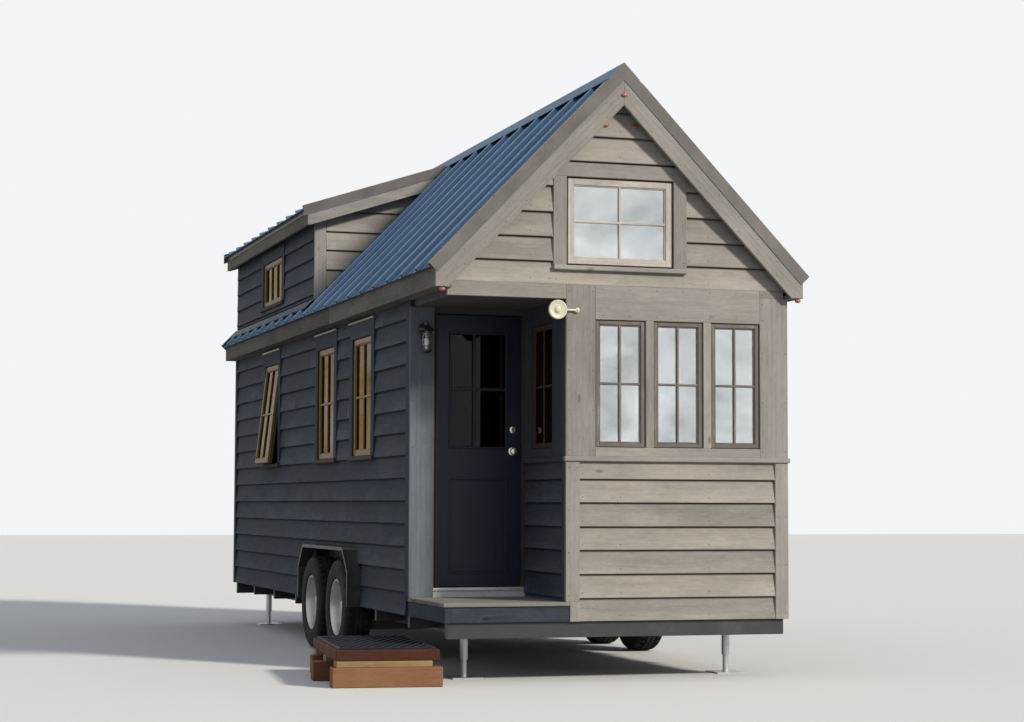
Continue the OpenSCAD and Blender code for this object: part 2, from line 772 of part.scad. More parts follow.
module rake_flashing() {
    tip = roof_tip_u;
    cover = cap_leg + 200;
    color("darkslategray") place() both_sides() {
        difference() {
            mitred(tip) rake_profile(roof_front, 1);
            // The ridge cap takes the place of the top leg at the apex
            on_slope() translate([cap_leg - cover, roof_front - 1, rib_h - 0.1])
                cube([cover, cover, 2 * cap_t]);
        }
        difference() {
            mitred(tip) rake_profile(roof_rear, -1);
            box([-1, 0, 0], [skin_out + 1, 2 * far, far]);
        }
        front_foot_x = meet_x(face_foot, sheet_t);
        dormer_flashing(dormer_y - dormer_over - flash_t, 1, [
            [front_foot_x, dormer_z(front_foot_x, face_foot)],
            [dormer_rib_x, slope_z(dormer_rib_x, sheet_t)]]);
        dormer_flashing(roof_rear, -1, [[dormer_rib_x, dormer_z(dormer_rib_x, face_foot)]]);
    }
}

module eave_fascias() {
    soffit_t = 18;
    color("gray") place() both_sides() {
        along(roof_front + rake_t + flash_t, roof_rear - rake_t - flash_t) polygon([
            [frame_x, fascia_foot], [fascia_x, fascia_foot], [fascia_x, slope_z(fascia_x, deck_head)],
            [fascia_x - fascia_t, slope_z(fascia_x - fascia_t, deck_head)],
            [fascia_x - fascia_t, fascia_foot + soffit_t], [frame_x, fascia_foot + soffit_t]]);
    }
}

module dormer_trim() {
    foot = face_foot - dormer_rake_w;
    y0 = dormer_y - dormer_over;
    y1 = roof_rear - flash_t;
    out_x = dormer_fascia_x;
    in_x = out_x - fascia_t;
    foot_x = meet_x(foot, sheet_t);
    head_x = meet_x(deck_head, sheet_t);
    // The fascia's outer edge, from its head down to its level foot
    edge = [[out_x, dormer_z(out_x, deck_head)], [out_x, dormer_z(in_x, foot)], [in_x, dormer_z(in_x, foot)]];
    color("gray") place() both_sides() {
        along(y0 + rake_t, y1 - rake_t) polygon(concat(edge, [[in_x, dormer_z(in_x, deck_head)]]));
        // Boards up the front and rear edges of the dormer roof
        along(y0, y0 + rake_t) polygon(concat(edge, [
            [foot_x, dormer_z(foot_x, foot)], [head_x, dormer_z(head_x, deck_head)]]));
        along(y1 - rake_t, y1) polygon(concat(edge, [
            [0, dormer_z(0, foot)], [0, slope_z(0, deck_head)],
            [dormer_head_x, slope_z(dormer_head_x, deck_head)]]));
    }
}

// A board round an outer corner of the body, seen in plan as an L
module corner_board(sx, sy, x, y, wide, deep, foot, top) {
    translate([x, y, foot]) mirror([sx > 0 ? 0 : 1, 0, 0]) mirror([0, sy > 0 ? 0 : 1, 0])
        linear_extrude(top - foot) polygon([
            [-wide, 0], [0, 0], [0, -deep], [-trim_t, -deep], [-trim_t, -trim_t], [-wide, -trim_t]]);
}

trim_out = frame_x + trim_t;
band_h = 32;
band_t = 40;
lower_board = 93;
rear_board = 90;
end_post_w = 167;
end_post_d = 115;
// How far the bay's trim and its band run along the right wall
trim_wrap = 200;
band_wrap = 260;

module corner_boards() {
    color("gray") place() {
        // Corners of the bay, below the band that runs round it
        corner_board(1, -1, trim_out, front_y - trim_t, lower_board, lower_board, wall_foot, band_z);
        corner_board(-1, -1, bay_frame_x - trim_t, front_y - trim_t,
            lower_board, lower_board, deck_top, band_z);
        box([bay_frame_x, front_y - trim_t, wall_foot],
            [bay_frame_x - trim_t + lower_board, front_y, deck_top]);
        // Rear corners
        corner_board(1, 1, trim_out, rear_y + trim_t, rear_board, rear_board, wall_foot, fascia_foot);
        corner_board(-1, 1, -trim_out, rear_y + trim_t, rear_board, rear_board, wall_foot, fascia_foot);
        // End of the left wall beside the porch
        difference() {
            translate([-trim_out, wall_end_y - skin_t, deck_top])
                cube([end_post_w, end_post_d, fascia_foot - deck_top]);
            box([-frame_x, wall_end_y, 0], [0, far, far]);
            box([-frame_x - 1, 0, beam_bottom], [0, far, far]);
        }
    }
}

module trim_bands() {
    out = front_y - band_t;
    color("gray") place() {
        difference() {
            box([bay_frame_x - band_t, out, band_z], [frame_x + band_t, wall_end_y, band_z + band_h]);
            box([bay_frame_x, front_y, 0], [frame_x, far, far]);
            box([frame_x - 1, band_wrap, 0], [far, far, far]);
        }
        // Board across the front of the porch beam, cut back above the foot of the eave
        box([-skin_out, front_y - trim_t, beam_bottom], [bay_frame_x, front_y, fascia_foot]);
        box([-frame_x, front_y - trim_t, fascia_foot], [bay_frame_x, front_y, frieze_z]);
    }
}

module bay_trim() {
    out = front_y - trim_t;
    foot = band_z + band_h;
    color("gray") place() difference() {
        box([bay_frame_x - trim_t, out, foot], [trim_out, wall_end_y, frieze_z]);
        box([bay_frame_x, front_y, 0], [frame_x, far, far]);
        box([frame_x - 1, trim_wrap, 0], [far, far, far]);
        box([frame_x, -far, fascia_foot], [far, far, far]);
        box([-far, -far, beam_bottom], [bay_frame_x, far, far]);
        bay_holes();
        translate([bay_x - wall_t, bay_side_win_y - bay_side_win_w / 2, bay_win_z])
            cube([2 * wall_t, bay_side_win_w, bay_win_h]);
    }
}

// Boards round a window, with the wall's frame face at Y = 0 and outwards along -Y
module casing(w, h, sill_out) {
    sill_h = 30;
    translate([0, -trim_t, 0]) {
        difference() {
            translate([-w / 2 - casing_w, 0, -sill_h])
                cube([w + 2 * casing_w, trim_t, h + casing_w + sill_h]);
            hole(w, h);
        }
        translate([-w / 2 - casing_w, -sill_out, -sill_h]) cube([w + 2 * casing_w, sill_out + 1, sill_h]);
    }
}

// All that lies above the underside of the main roof deck
module above_ceiling() {
    reach = 2 * half_w;
    both_sides() along(-far, far) polygon([
        [0, slope_z(0, wall_head)], [reach, slope_z(reach, wall_head)], [reach, far], [0, far]]);
}

module window_casings() {
    sill_out = 18;
    color("gray") place() {
        for (y = left_windows) translate([-frame_x, y, side_win_z]) rotate([0, 0, -90])
            casing(side_win_w, side_win_h, sill_out);
        for (y = right_windows) translate([frame_x, y, side_win_z]) rotate([0, 0, 90])
            casing(side_win_w, side_win_h, sill_out);
        both_sides() translate([frame_x, dormer_win_y, dormer_win_z]) rotate([0, 0, 90])
            casing(dormer_win_w, dormer_win_h, sill_out);
        difference() {
            translate([0, front_y, gable_win_z]) casing(gable_win_w, gable_win_h, sill_out);
            above_ceiling();
        }
        translate([0, rear_y, side_win_z]) rotate([0, 0, 180]) casing(side_win_w, side_win_h, sill_out);
        translate([0, rear_y, gable_win_z]) rotate([0, 0, 180]) casing(gable_win_w, gable_win_h, sill_out);
    }
}

// Leaves the place of a casing free in a sheet of siding
module casing_gap(w, h) { translate([0, 0, -30]) hole(w + 2 * casing_w, h + casing_w + 30); }

module front_siding() {
    color("gray") place() {
        difference() {
            along(front_y - siding_t, front_y) polygon([
                [-skin_out, frieze_z], [skin_out, frieze_z], [skin_out, slope_z(skin_out, wall_head)],
                [0, slope_z(0, wall_head)], [-skin_out, slope_z(skin_out, wall_head)]]);
            translate([0, 0, gable_win_z]) casing_gap(gable_win_w, gable_win_h);
        }
        box([bay_frame_x - trim_t + lower_board, front_y - siding_t, wall_foot],
            [trim_out - lower_board, front_y, band_z]);
        // Side of the bay that faces the porch
        box([bay_frame_x - siding_t, front_y - trim_t + lower_board, deck_top],
            [bay_frame_x, wall_end_y, band_z]);
    }
}

module long_siding(start, places) {
    difference() {
        box([frame_x, start, wall_foot], [skin_out, rear_y + trim_t - rear_board, fascia_foot]);
        for (y = places) translate([0, y, side_win_z]) rotate([0, 0, 90]) casing_gap(side_win_w, side_win_h);
        across(0, far) arch_outline(20);
    }
}

module left_siding() {
    color("gray") place() mirror([1, 0, 0]) difference() {
        long_siding(wall_end_y, left_windows);
        box([0, 0, deck_top], [far, wall_end_y - skin_t + end_post_d, far]);
    }
}

module right_siding() {
    color("gray") place() difference() {
        long_siding(front_y - trim_t + lower_board, right_windows);
        box([0, -far, band_z], [far, band_wrap, band_z + band_h]);
        box([0, -far, band_z], [far, trim_wrap, far]);
    }
}

module rear_siding() {
    side = trim_out - rear_board;
    color("gray") place() difference() {
        union() {
            // One half from the middle outwards: it steps round the eave to reach the dormer's corner
            for (s = [0, 1]) mirror([s, 0, 0]) along(rear_y, rear_y + siding_t) polygon([
                [0, wall_foot], [side, wall_foot], [side, fascia_foot], [frame_x, fascia_foot],
                [frame_x, slope_z(frame_x, siding_lift)], [skin_out, slope_z(skin_out, siding_lift)],
                [skin_out, dormer_z(skin_out, dormer_wall_head)], [0, dormer_z(0, dormer_wall_head)]]);
        }
        translate([0, rear_y, side_win_z]) casing_gap(side_win_w, side_win_h);
        translate([0, rear_y, gable_win_z]) casing_gap(gable_win_w, gable_win_h);
    }
}

module dormer_siding() {
    head = dormer_wall_head;
    color("gray") place() both_sides() {
        difference() {
            along(dormer_y - siding_t, rear_y) polygon([
                [frame_x, slope_z(frame_x, siding_lift)], [skin_out, slope_z(skin_out, siding_lift)],
                [skin_out, dormer_z(skin_out, head)], [frame_x, dormer_z(frame_x, head)]]);
            translate([0, dormer_win_y, dormer_win_z]) rotate([0, 0, 90])
                casing_gap(dormer_win_w, dormer_win_h);
        }
        along(dormer_y - siding_t, dormer_y) polygon([
            [cheek_in + 30, slope_z(cheek_in + 30, 1)], [frame_x, slope_z(frame_x, 1)],
            [frame_x, dormer_z(frame_x, head)]]);
    }
}

// A sash in its hole, with the wall's frame face at Y = 0 and inwards along +Y
module sash(w, h) {
    translate([-w / 2, -16, 0]) difference() {
        cube([w, sash_t, h]);
        translate([sash_w, -1, sash_w]) cube([w - 2 * sash_w, sash_t + 2, h - 2 * sash_w]);
    }
}

module pane(w, h) {
    glass_t = 8;
    translate([-w / 2 + sash_w, -16 + sash_t / 2 - glass_t / 2, sash_w])
        cube([w - 2 * sash_w, glass_t, h - 2 * sash_w]);
}

// Puts a sash or a pane in every window: kind 0 is the sash and kind 1 the glass
module fill(kind, w, h) {
    if (kind == 0) sash(w, h);
    if (kind == 1) pane(w, h);
}

module every_window(kind) {
    for (i = [-1:1]) translate([bay_mid_x + i * bay_win_pitch, front_y, bay_win_z])
        fill(kind, bay_win_w, bay_win_h);
    translate([bay_frame_x, bay_side_win_y, bay_win_z]) rotate([0, 0, -90])
        fill(kind, bay_side_win_w, bay_win_h);
    translate([0, front_y, gable_win_z]) fill(kind, gable_win_w, gable_win_h);
    for (i = [0:len(left_windows) - 1]) translate([-frame_x, left_windows[i], side_win_z])
        rotate([0, 0, -90]) tilted(i == open_window) fill(kind, side_win_w, side_win_h);
    for (y = right_windows) translate([frame_x, y, side_win_z]) rotate([0, 0, 90])
        fill(kind, side_win_w, side_win_h);
    both_sides() translate([frame_x, dormer_win_y, dormer_win_z]) rotate([0, 0, 90])
        fill(kind, dormer_win_w, dormer_win_h);
    translate([0, rear_y, side_win_z]) rotate([0, 0, 180]) fill(kind, side_win_w, side_win_h);
    translate([0, rear_y, gable_win_z]) rotate([0, 0, 180]) fill(kind, gable_win_w, gable_win_h);
}

// Swings a top-hung sash out by its foot where the window stands open
module tilted(open) {
    if (open)
        translate([0, -16, side_win_h - 0.3]) rotate([-awning_tilt, 0, 0]) scale(0.999)
            translate([0, 16, -side_win_h]) children();
    else
        children();
}

module window_sashes() { color("dimgray") place() every_window(0); }
module window_glass() { color("lightsteelblue") place() every_window(1); }

module lite_hole(y0, y1) {
    box([leaf_left + door_stile, y0, lite_foot], [leaf_right - door_stile, y1, lite_top]);
}

module door_leaf() {
    color("midnightblue") place() difference() {
        box([leaf_left, door_face, leaf_foot], [leaf_right, door_back, leaf_top]);
        lite_hole(0, far);
        for (y = [door_face - 1, door_back - panel_recess])
            box([leaf_left + door_stile, y, panel_foot],
                [leaf_right - door_stile, y + panel_recess + 1, panel_top]);
    }
}

module door_glass() {
    mid = door_face + door_t / 2;
    color("lightsteelblue") place() lite_hole(mid - 4, mid + 4);
}

module knob(y, out) {
    // Turned profile: rose, neck and ball
    translate([knob_x, y, knob_h]) rotate([90 * out, 0, 0]) rotate_extrude() polygon([
        [0, 0], [32, 0], [32, 5], [28, 8], [13, 9], [11, 22],
        [17, 27], [26, 35], [27, 44], [22, 52], [12, 55], [0, 55]]);
}

module door_hardware() {
    leaf_plate_w = 30;
    color("silver") place() {
        knob(door_face, 1);
        knob(door_back, -1);
        translate([knob_x, door_face, bolt_h]) rotate([90, 0, 0]) cylinder(h = 14, r = 27);
        translate([knob_x, door_back, bolt_h]) rotate([-90, 0, 0]) cylinder(h = 18, r = 24);
        for (z = hinge_heights) difference() {
            union() {
                translate([hinge_x, hinge_y, z - knuckle_h / 2]) cylinder(h = knuckle_h, r = knuckle_r);
                box([hinge_x, door_back, z - knuckle_h / 2],
                    [hinge_x + leaf_plate_w, door_back + 3, z + knuckle_h / 2]);
            }
            translate([hinge_x, hinge_y, z - knuckle_h]) cylinder(h = 2 * knuckle_h, r = pin_r + 0.3);
        }
    }
}

// The fixed half of each hinge: two knuckles on one pin, screwed to the jamb
module door_hinges() {
    gap = 0.5;
    low = door_back - 2;
    color("silver") place() for (z = hinge_heights) {
        translate([hinge_x, hinge_y, z - 1.5 * knuckle_h]) cylinder(h = 3 * knuckle_h, r = pin_r);
        for (s = [-1, 1]) {
            foot = s > 0 ? z + knuckle_h / 2 + gap : z - 1.5 * knuckle_h;
            high = foot + knuckle_h - gap;
            translate([hinge_x, hinge_y, foot]) cylinder(h = knuckle_h - gap, r = knuckle_r);
            box([hinge_x - knuckle_r - 2, low, foot], [hinge_x - knuckle_r + 2, hinge_y + 1, high]);
        }
    }
}

// The lantern hangs from an arm in front of the end of the left wall
lantern_x = -half_w + 88;
lantern_out = 62;
lantern_cup_h = 20;
lantern_drop = 163;
lantern_h = 150;
lantern_roof_z = beam_bottom - lantern_drop;
lantern_foot = lantern_roof_z - lantern_h;

module lantern_body() {
    plate_r = 52;
    plate_d = 10;
    arm_z = lantern_roof_z + 50;
    arm_r = 8;
    wire_r = 2.5;
    color("black") place() translate([lantern_x, porch_d, 0]) {
        translate([0, 0, arm_z - plate_r]) rotate([90, 0, 0]) cylinder(h = plate_d, r = plate_r);
        translate([0, -plate_d + 1, arm_z]) rotate([90, 0, 0]) cylinder(h = lantern_out - plate_d, r = arm_r);
        translate([0, -lantern_out, 0]) {
            translate([0, 0, arm_z - 22]) cylinder(h = 34, r = 14);
            translate([0, 0, lantern_roof_z]) rotate_extrude() polygon([
                [0, 0], [50, 0], [52, 4], [40, 20], [18, 34], [0, 40]]);
            translate([0, 0, lantern_foot]) rotate_extrude() polygon([
                [0, 0], [16, 0], [34, 8], [36, lantern_cup_h], [0, lantern_cup_h]]);
            for (a = [45:90:315]) rotate([0, 0, a]) translate([32, 0, lantern_foot + 16])
                cylinder(h = lantern_roof_z - lantern_foot - 12, r = wire_r, $fn = 16);
        }
    }
}

module lantern_globe() {
    gap = 0.2;
    h = lantern_roof_z - lantern_foot - lantern_cup_h - 2 * gap;
    color("white") place() translate([lantern_x, porch_d - lantern_out, lantern_foot + lantern_cup_h + gap])
        rotate_extrude() polygon([
            [0, 0], [20, 0], [26, h * 0.15], [29, h * 0.46], [27, h * 0.77], [20, h], [0, h]]);
}

// A dish on a short bar, screwed to the bay's corner board by its round foot
module wall_disc() {
    x = bay_x - 70;
    z = beam_bottom - 73;
    foot_x = bay_x + 64;
    bar_h = 12;
    bar_d = 20;
    out = front_y - trim_t;
    color("ivory") place() {
        translate([x, out, z]) rotate([90, 0, 0]) rotate_extrude() polygon([
            [0, 6], [56, 6], [62, 10], [62, 26], [56, 30], [44, 27], [22, 27], [20, 34], [0, 36]]);
        box([x, out - bar_d, z - bar_h / 2], [foot_x, out, z + bar_h / 2]);
        translate([foot_x, out, z]) rotate([90, 0, 0]) cylinder(h = bar_d, r = 16);
    }
}

marker_r = 12;
marker_l = 14;

module marker(x, y, z) { translate([x, y, z]) rotate([90, 0, 0]) cylinder(h = marker_l, r = marker_r); }

// A lamp hung under the foot of a rake board by its own base
module hung_marker(x) {
    y = roof_front + flash_t + marker_l + 6;
    z = fascia_foot - marker_r - 3;
    marker(x, y, z);
    box([x - marker_r, y - marker_l, z], [x + marker_r, y, fascia_foot]);
}

module marker_lights() {
    board = roof_front + flash_t;
    skin = front_y - siding_t;
    pair_x = 100;
    pair_drop = 213;
    pair_z = slope_z(0, wall_head) - pair_drop;
    color("firebrick") place() {
        marker(0, board, slope_z(0, face_foot - 0.6 * rake_w));
        for (x = [-pair_x, pair_x]) marker(x, skin, pair_z);
        hung_marker(48 - fascia_x);
        hung_marker(fascia_x - 31);
    }
}

module on_step() { place() translate([step_left, step_front, 0]) rotate([0, 0, -step_turn]) children(); }

module step_timbers() {
    plank_gap = 6;
    count = 4;
    plank_w = (step_d - (count - 1) * plank_gap) / count;
    plank_foot = sleeper_h + mid_h;
    color("saddlebrown") on_step() {
        for (y = [0, middle_sleeper, step_d - sleeper_w]) {
            over = y == middle_sleeper ? middle_over : sleeper_over;
            box([-over, y, 0], [step_w + sleeper_over, y + sleeper_w, sleeper_h]);
            box([mid_inset, y + mid_inset, sleeper_h],
                [step_w - mid_short, y + sleeper_w - mid_inset, plank_foot]);
        }
        for (i = [0:count - 1]) {
            y = i * (plank_w + plank_gap);
            box([0, y, plank_foot], [step_w, y + plank_w, step_top]);
        }
    }
}

module step_mat() {
    color("black") on_step()
        box([mat_inset, mat_inset, step_top], [step_w - mat_inset, step_d - mat_inset, step_top + mat_t]);
}

trailer_rails();
cross_members();
drawbar();
jacks();
axles();
tyres();
wheel_rims();
fenders();
floor_slab();  // floor
porch_joists();
porch_deck();
left_wall();
right_wall();
rear_wall();
bay_wall();
bay_side_wall();
gable_wall();
porch_beams();
porch_ceiling();
door_header();
door_jambs();
door_sill();
dormer_walls();
dormer_cheeks();
left_roof_deck();
right_roof_deck();
eave_decks();
left_roof_sheet();
right_roof_sheet();
ridge_cap();
dormer_roofs();
dormer_sheets();
rake_boards();
rake_flashing();
eave_fascias();
dormer_trim();
corner_boards();
trim_bands();
bay_trim();
window_casings();
front_siding();
left_siding();
right_siding();
rear_siding();
dormer_siding();
window_sashes();
window_glass();
door_leaf();
door_glass();
door_hardware();
door_hinges();
lantern_body();
lantern_globe();
wall_disc();
marker_lights();
step_timbers();
step_mat();
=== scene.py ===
# %% [markdown]
# A tiny house on a road trailer, dressed over its exact solids.
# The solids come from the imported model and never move. Everything here is laid over them or stands
# in for them: lapped boards for flat siding, single boards for trim, bars in the windows, screws.
# The house stands along Y. Its porch end faces -Y and its drawbar reaches towards +Y.

# %% Load the solids
import math
import random

import bmesh
import bpy
from mathutils import Matrix, Vector


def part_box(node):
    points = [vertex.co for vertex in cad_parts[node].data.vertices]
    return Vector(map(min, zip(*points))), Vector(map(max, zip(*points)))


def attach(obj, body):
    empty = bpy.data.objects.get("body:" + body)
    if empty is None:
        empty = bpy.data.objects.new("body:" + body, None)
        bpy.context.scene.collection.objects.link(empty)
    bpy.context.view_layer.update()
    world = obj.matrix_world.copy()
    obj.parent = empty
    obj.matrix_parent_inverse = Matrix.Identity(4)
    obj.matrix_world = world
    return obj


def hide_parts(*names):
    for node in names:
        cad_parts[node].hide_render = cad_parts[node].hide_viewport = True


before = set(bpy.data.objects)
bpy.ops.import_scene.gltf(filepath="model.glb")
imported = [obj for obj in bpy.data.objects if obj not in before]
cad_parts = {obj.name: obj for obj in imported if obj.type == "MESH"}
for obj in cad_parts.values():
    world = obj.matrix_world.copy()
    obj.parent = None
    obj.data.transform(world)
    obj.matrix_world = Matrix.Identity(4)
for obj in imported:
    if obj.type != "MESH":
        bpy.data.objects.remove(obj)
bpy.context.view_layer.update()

# %% [markdown]
# A builder measures a house from its centre line and from the face of its front wall, and so does
# this script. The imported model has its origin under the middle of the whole, so every piece is made
# in the house's own measure and shifted once, when it is finished. The shift is read off two solids:
# the ridge cap lies on the centre line, and the bay's frame starts 22 mm behind the siding.

# %% The house's own measure
ridge_low, ridge_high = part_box("ridge_cap")
skin = 0.022
shift = Vector(((ridge_low.x + ridge_high.x) / 2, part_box("bay_wall")[0].y - skin, 0.0))


def house_box(node):
    """The corners of a solid in the house's own measure."""
    low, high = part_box(node)
    return low - shift, high - shift


half_width = 1.163
frame_x = half_width - skin
front_y = skin
rear_y = 7.318
bay_frame_x = -0.342
wall_end_y = 0.877
trim_t = 0.028
roof_pitch = math.radians(46)
dormer_pitch = math.radians(18)
foot_z = house_box("left_wall")[0].z
fascia_foot = house_box("eave_fascias")[0].z
pan_apex = 3.960 - 0.028 / math.cos(roof_pitch)
dormer_head_x = 0.067
deck_foot_lift = -0.1022
dormer_deck_lift = -0.0772
under_sheet = -0.0021
siding_x = 1.159
sky = 4.0
dormer_apex = pan_apex - dormer_head_x * (math.tan(roof_pitch) - math.tan(dormer_pitch))


def slope_z(x, lift=0.0):
    """Height of the main roof at a distance from the centre line, lifted square to the sheet."""
    return pan_apex + lift / math.cos(roof_pitch) - abs(x) * math.tan(roof_pitch)


def dormer_z(x, lift=0.0):
    """The same for the flatter dormer roof."""
    return dormer_apex + lift / math.cos(dormer_pitch) - abs(x) * math.tan(dormer_pitch)


def roof_cut(side, lift, up=1):
    """A saw cut along one side of the main roof. What lies above it goes, or below it if up is -1."""
    normal = Vector((side * math.sin(roof_pitch), 0, math.cos(roof_pitch)))
    return (0, 0, slope_z(0, lift)), up * normal


def dormer_cut(side, lift, up=1):
    """The same along a dormer roof."""
    normal = Vector((side * math.sin(dormer_pitch), 0, math.cos(dormer_pitch)))
    return (0, 0, dormer_z(0, lift)), up * normal


print("shift", [round(v, 4) for v in shift])
print("wall foot", round(foot_z, 4), "fascia foot", round(fascia_foot, 4))

# %% [markdown]
# The camera stands where the photograph's was: low, in front of the porch corner and turned to the
# right. A long lens keeps the walls nearly parallel. Its place was solved from the straight edges.

# %% Camera
camera_at = Vector((-4.813, -12.939, 1.112)) + shift
yaw = math.radians(17.513)
pitch = math.radians(3.823)
roll = math.radians(0.18)
ahead = Vector((math.sin(yaw) * math.cos(pitch), math.cos(yaw) * math.cos(pitch), math.sin(pitch)))
camera_data = bpy.data.cameras.new("photo_camera")
camera_data.sensor_width = 36.0
camera_data.lens = 75.69
camera_data.clip_end = 200.0
camera = bpy.data.objects.new("photo_camera", camera_data)
bpy.context.scene.collection.objects.link(camera)
turn = ahead.to_track_quat("-Z", "Y").to_matrix().to_4x4() @ Matrix.Rotation(roll, 4, "Z")
camera.matrix_world = Matrix.Translation(camera_at) @ turn
bpy.context.scene.camera = camera
print("camera at", [round(v, 3) for v in camera_at])

# %% [markdown]
# Small helpers for materials. A node is made, set and wired in one line, because each of its inputs
# takes a plain value or another node's socket. Several patterns are added up with weights into one
# level, which then picks the colour. Every finish is made of such levels.

# %% Material helpers


def feed(socket, value):
    """Gives an input a plain value, or links it to another node's socket."""
    if isinstance(value, bpy.types.NodeSocket):
        socket.id_data.links.new(value, socket)
    else:
        socket.default_value = value


def set_inputs(node, values):
    """Feeds several inputs of a node."""
    for key, value in values.items():
        feed(node.inputs[key], value)


def add_node(tree, kind, inputs=None, **settings):
    """Adds one node, sets its options and feeds its inputs."""
    made = tree.nodes.new(kind)
    for key, value in settings.items():
        setattr(made, key, value)
    set_inputs(made, inputs or {})
    return made


def sum_up(tree, operation, *values, clamp=False):
    """One arithmetic step on numbers or sockets."""
    inputs = dict(enumerate(values))
    return add_node(tree, "ShaderNodeMath", inputs, operation=operation, use_clamp=clamp).outputs[0]


def scaled(tree, vector, scale, turned=(0, 0, 0)):
    """A pattern's coordinates, stretched along the grain and turned on the piece."""
    inputs = {"Vector": vector, "Scale": scale, "Rotation": turned}
    return add_node(tree, "ShaderNodeMapping", inputs).outputs["Vector"]


def noise(tree, vector, scale=1.0, detail=4.0, rough=0.6, warp=0.0):
    """A noise pattern from 0 to 1."""
    inputs = {"Vector": vector, "Scale": scale, "Detail": detail, "Roughness": rough, "Distortion": warp}
    return add_node(tree, "ShaderNodeTexNoise", inputs).outputs["Fac"]


def stretched(tree, vector, scale, detail=4.0, rough=0.6, warp=0.0):
    """The same with its own scale along each axis."""
    return noise(tree, scaled(tree, vector, scale), 1.0, detail, rough, warp)


def reach(tree, value, low, high, to_low=0.0, to_high=1.0):
    """Spreads the part of a pattern between two levels over a new range."""
    inputs = {"Value": value, "From Min": low, "From Max": high, "To Min": to_low, "To Max": to_high}
    return add_node(tree, "ShaderNodeMapRange", inputs, clamp=True).outputs["Result"]


def weigh(tree, parts, base=0.0):
    """Adds patterns up, each times its weight."""
    total = base
    for socket, weight in parts:
        total = sum_up(tree, "MULTIPLY_ADD", socket, weight, total)
    return total


def colours(tree, level, stops):
    """Picks a colour by level. Each stop is a place from 0 to 1 and a colour."""
    ramp = add_node(tree, "ShaderNodeValToRGB", {"Fac": level})
    for place, _ in stops[1:-1]:
        ramp.color_ramp.elements.new(place)
    for element, (place, colour) in zip(ramp.color_ramp.elements, stops):
        element.position = place
        element.color = (*colour, 1.0)
    return ramp.outputs["Color"]


def mixed(tree, amount, first, second):
    """Goes from one colour to another by amount. Either may be a socket or a plain colour."""
    mix = add_node(tree, "ShaderNodeMix", {"Factor": amount}, data_type="RGBA")
    places = [s for s in mix.inputs if s.type == "RGBA"]
    for place, value in zip(places, (first, second)):
        feed(place, (*value, 1.0) if isinstance(value, tuple) else value)
    return [s for s in mix.outputs if s.type == "RGBA"][0]


def times(colour, factor):
    """A plain colour made darker or lighter."""
    return tuple(factor * v for v in colour)


def bumped(tree, shader, height, depth, strength=0.6):
    """Lets a height pattern tilt the surface. Depth is its relief in metres."""
    bump = add_node(tree, "ShaderNodeBump", {"Height": height, "Strength": strength, "Distance": depth})
    feed(shader.inputs["Normal"], bump.outputs["Normal"])


def seen_plain(tree):
    """1 for what the camera, mirrors and panes see, and 0 for all other light."""
    ray = add_node(tree, "ShaderNodeLightPath").outputs
    direct = sum_up(tree, "ADD", ray["Is Camera Ray"], ray["Is Glossy Ray"])
    return sum_up(tree, "ADD", direct, ray["Is Transmission Ray"], clamp=True)


def blank_material(name):
    """A new material with only its shader."""
    material = bpy.data.materials.new(name)
    material.use_nodes = True
    return material, material.node_tree, material.node_tree.nodes["Principled BSDF"]


def object_space(tree):
    """Coordinates in metres on the piece itself."""
    return add_node(tree, "ShaderNodeTexCoord").outputs["Object"]


# %% [markdown]
# Studio light: an even, faintly cool surround fills the shade, and one wide warm lamp from the front
# right stands for a low sun. The lit gable and the shaded long wall then differ as they do outdoors.
# Its direction was worked out from two shadows in the photograph, below the right rake and on the
# dormer's cheek. The lamp is broad, so the shadows are soft, and a mid grey stays a mid grey.

# %% Light
bpy.context.scene.view_settings.view_transform = "Standard"
world = bpy.data.worlds.new("studio")
bpy.context.scene.world = world
world.use_nodes = True
tree = world.node_tree
tree.nodes.clear()
surround = add_node(tree, "ShaderNodeBackground", {"Color": (0.35, 0.375, 0.41, 1.0)})
backdrop = add_node(tree, "ShaderNodeBackground", {"Color": (0.90, 0.91, 0.92, 1.0)})
shown = {"Fac": seen_plain(tree), 1: surround.outputs[0], 2: backdrop.outputs[0]}
choice = add_node(tree, "ShaderNodeMixShader", shown)
add_node(tree, "ShaderNodeOutputWorld", {"Surface": choice.outputs[0]})

lamp_data = bpy.data.lights.new("broad_sun", "SUN")
lamp_data.energy = 3.0
lamp_data.angle = math.radians(7)
lamp_data.color = (1.0, 0.93, 0.82)
lamp = bpy.data.objects.new("broad_sun", lamp_data)
bpy.context.scene.collection.objects.link(lamp)
lamp_from = Vector((0.74, -1.0, 0.68))
lamp.matrix_world = (-lamp_from).to_track_quat("-Z", "Y").to_matrix().to_4x4()
print("lamp elevation", round(math.degrees(math.asin(lamp_from.normalized().z)), 1), "degrees")

# %% [markdown]
# The stand is one wide pale sheet at ground level. It is stage, so it isn't part of the house. A sheet
# this pale would throw as much light under the eaves as the sky does, so only the camera, mirrors and
# panes see it pale, and to all other light it is a mid grey.

# %% Floor
floor_bm = bmesh.new()
bmesh.ops.create_grid(floor_bm, x_segments=1, y_segments=1, size=60.0)
floor_mesh = bpy.data.meshes.new("studio_floor")
floor_bm.to_mesh(floor_mesh)
floor_bm.free()
studio_floor = bpy.data.objects.new("studio_floor", floor_mesh)
bpy.context.scene.collection.objects.link(studio_floor)
floor_paint, tree, shader = blank_material("studio_floor")
floor_tone = mixed(tree, seen_plain(tree), (0.32, 0.32, 0.31), (0.86, 0.86, 0.85))
set_inputs(shader, {"Base Color": floor_tone, "Roughness": 0.9, "Specular IOR Level": 0.1})
floor_mesh.materials.append(floor_paint)

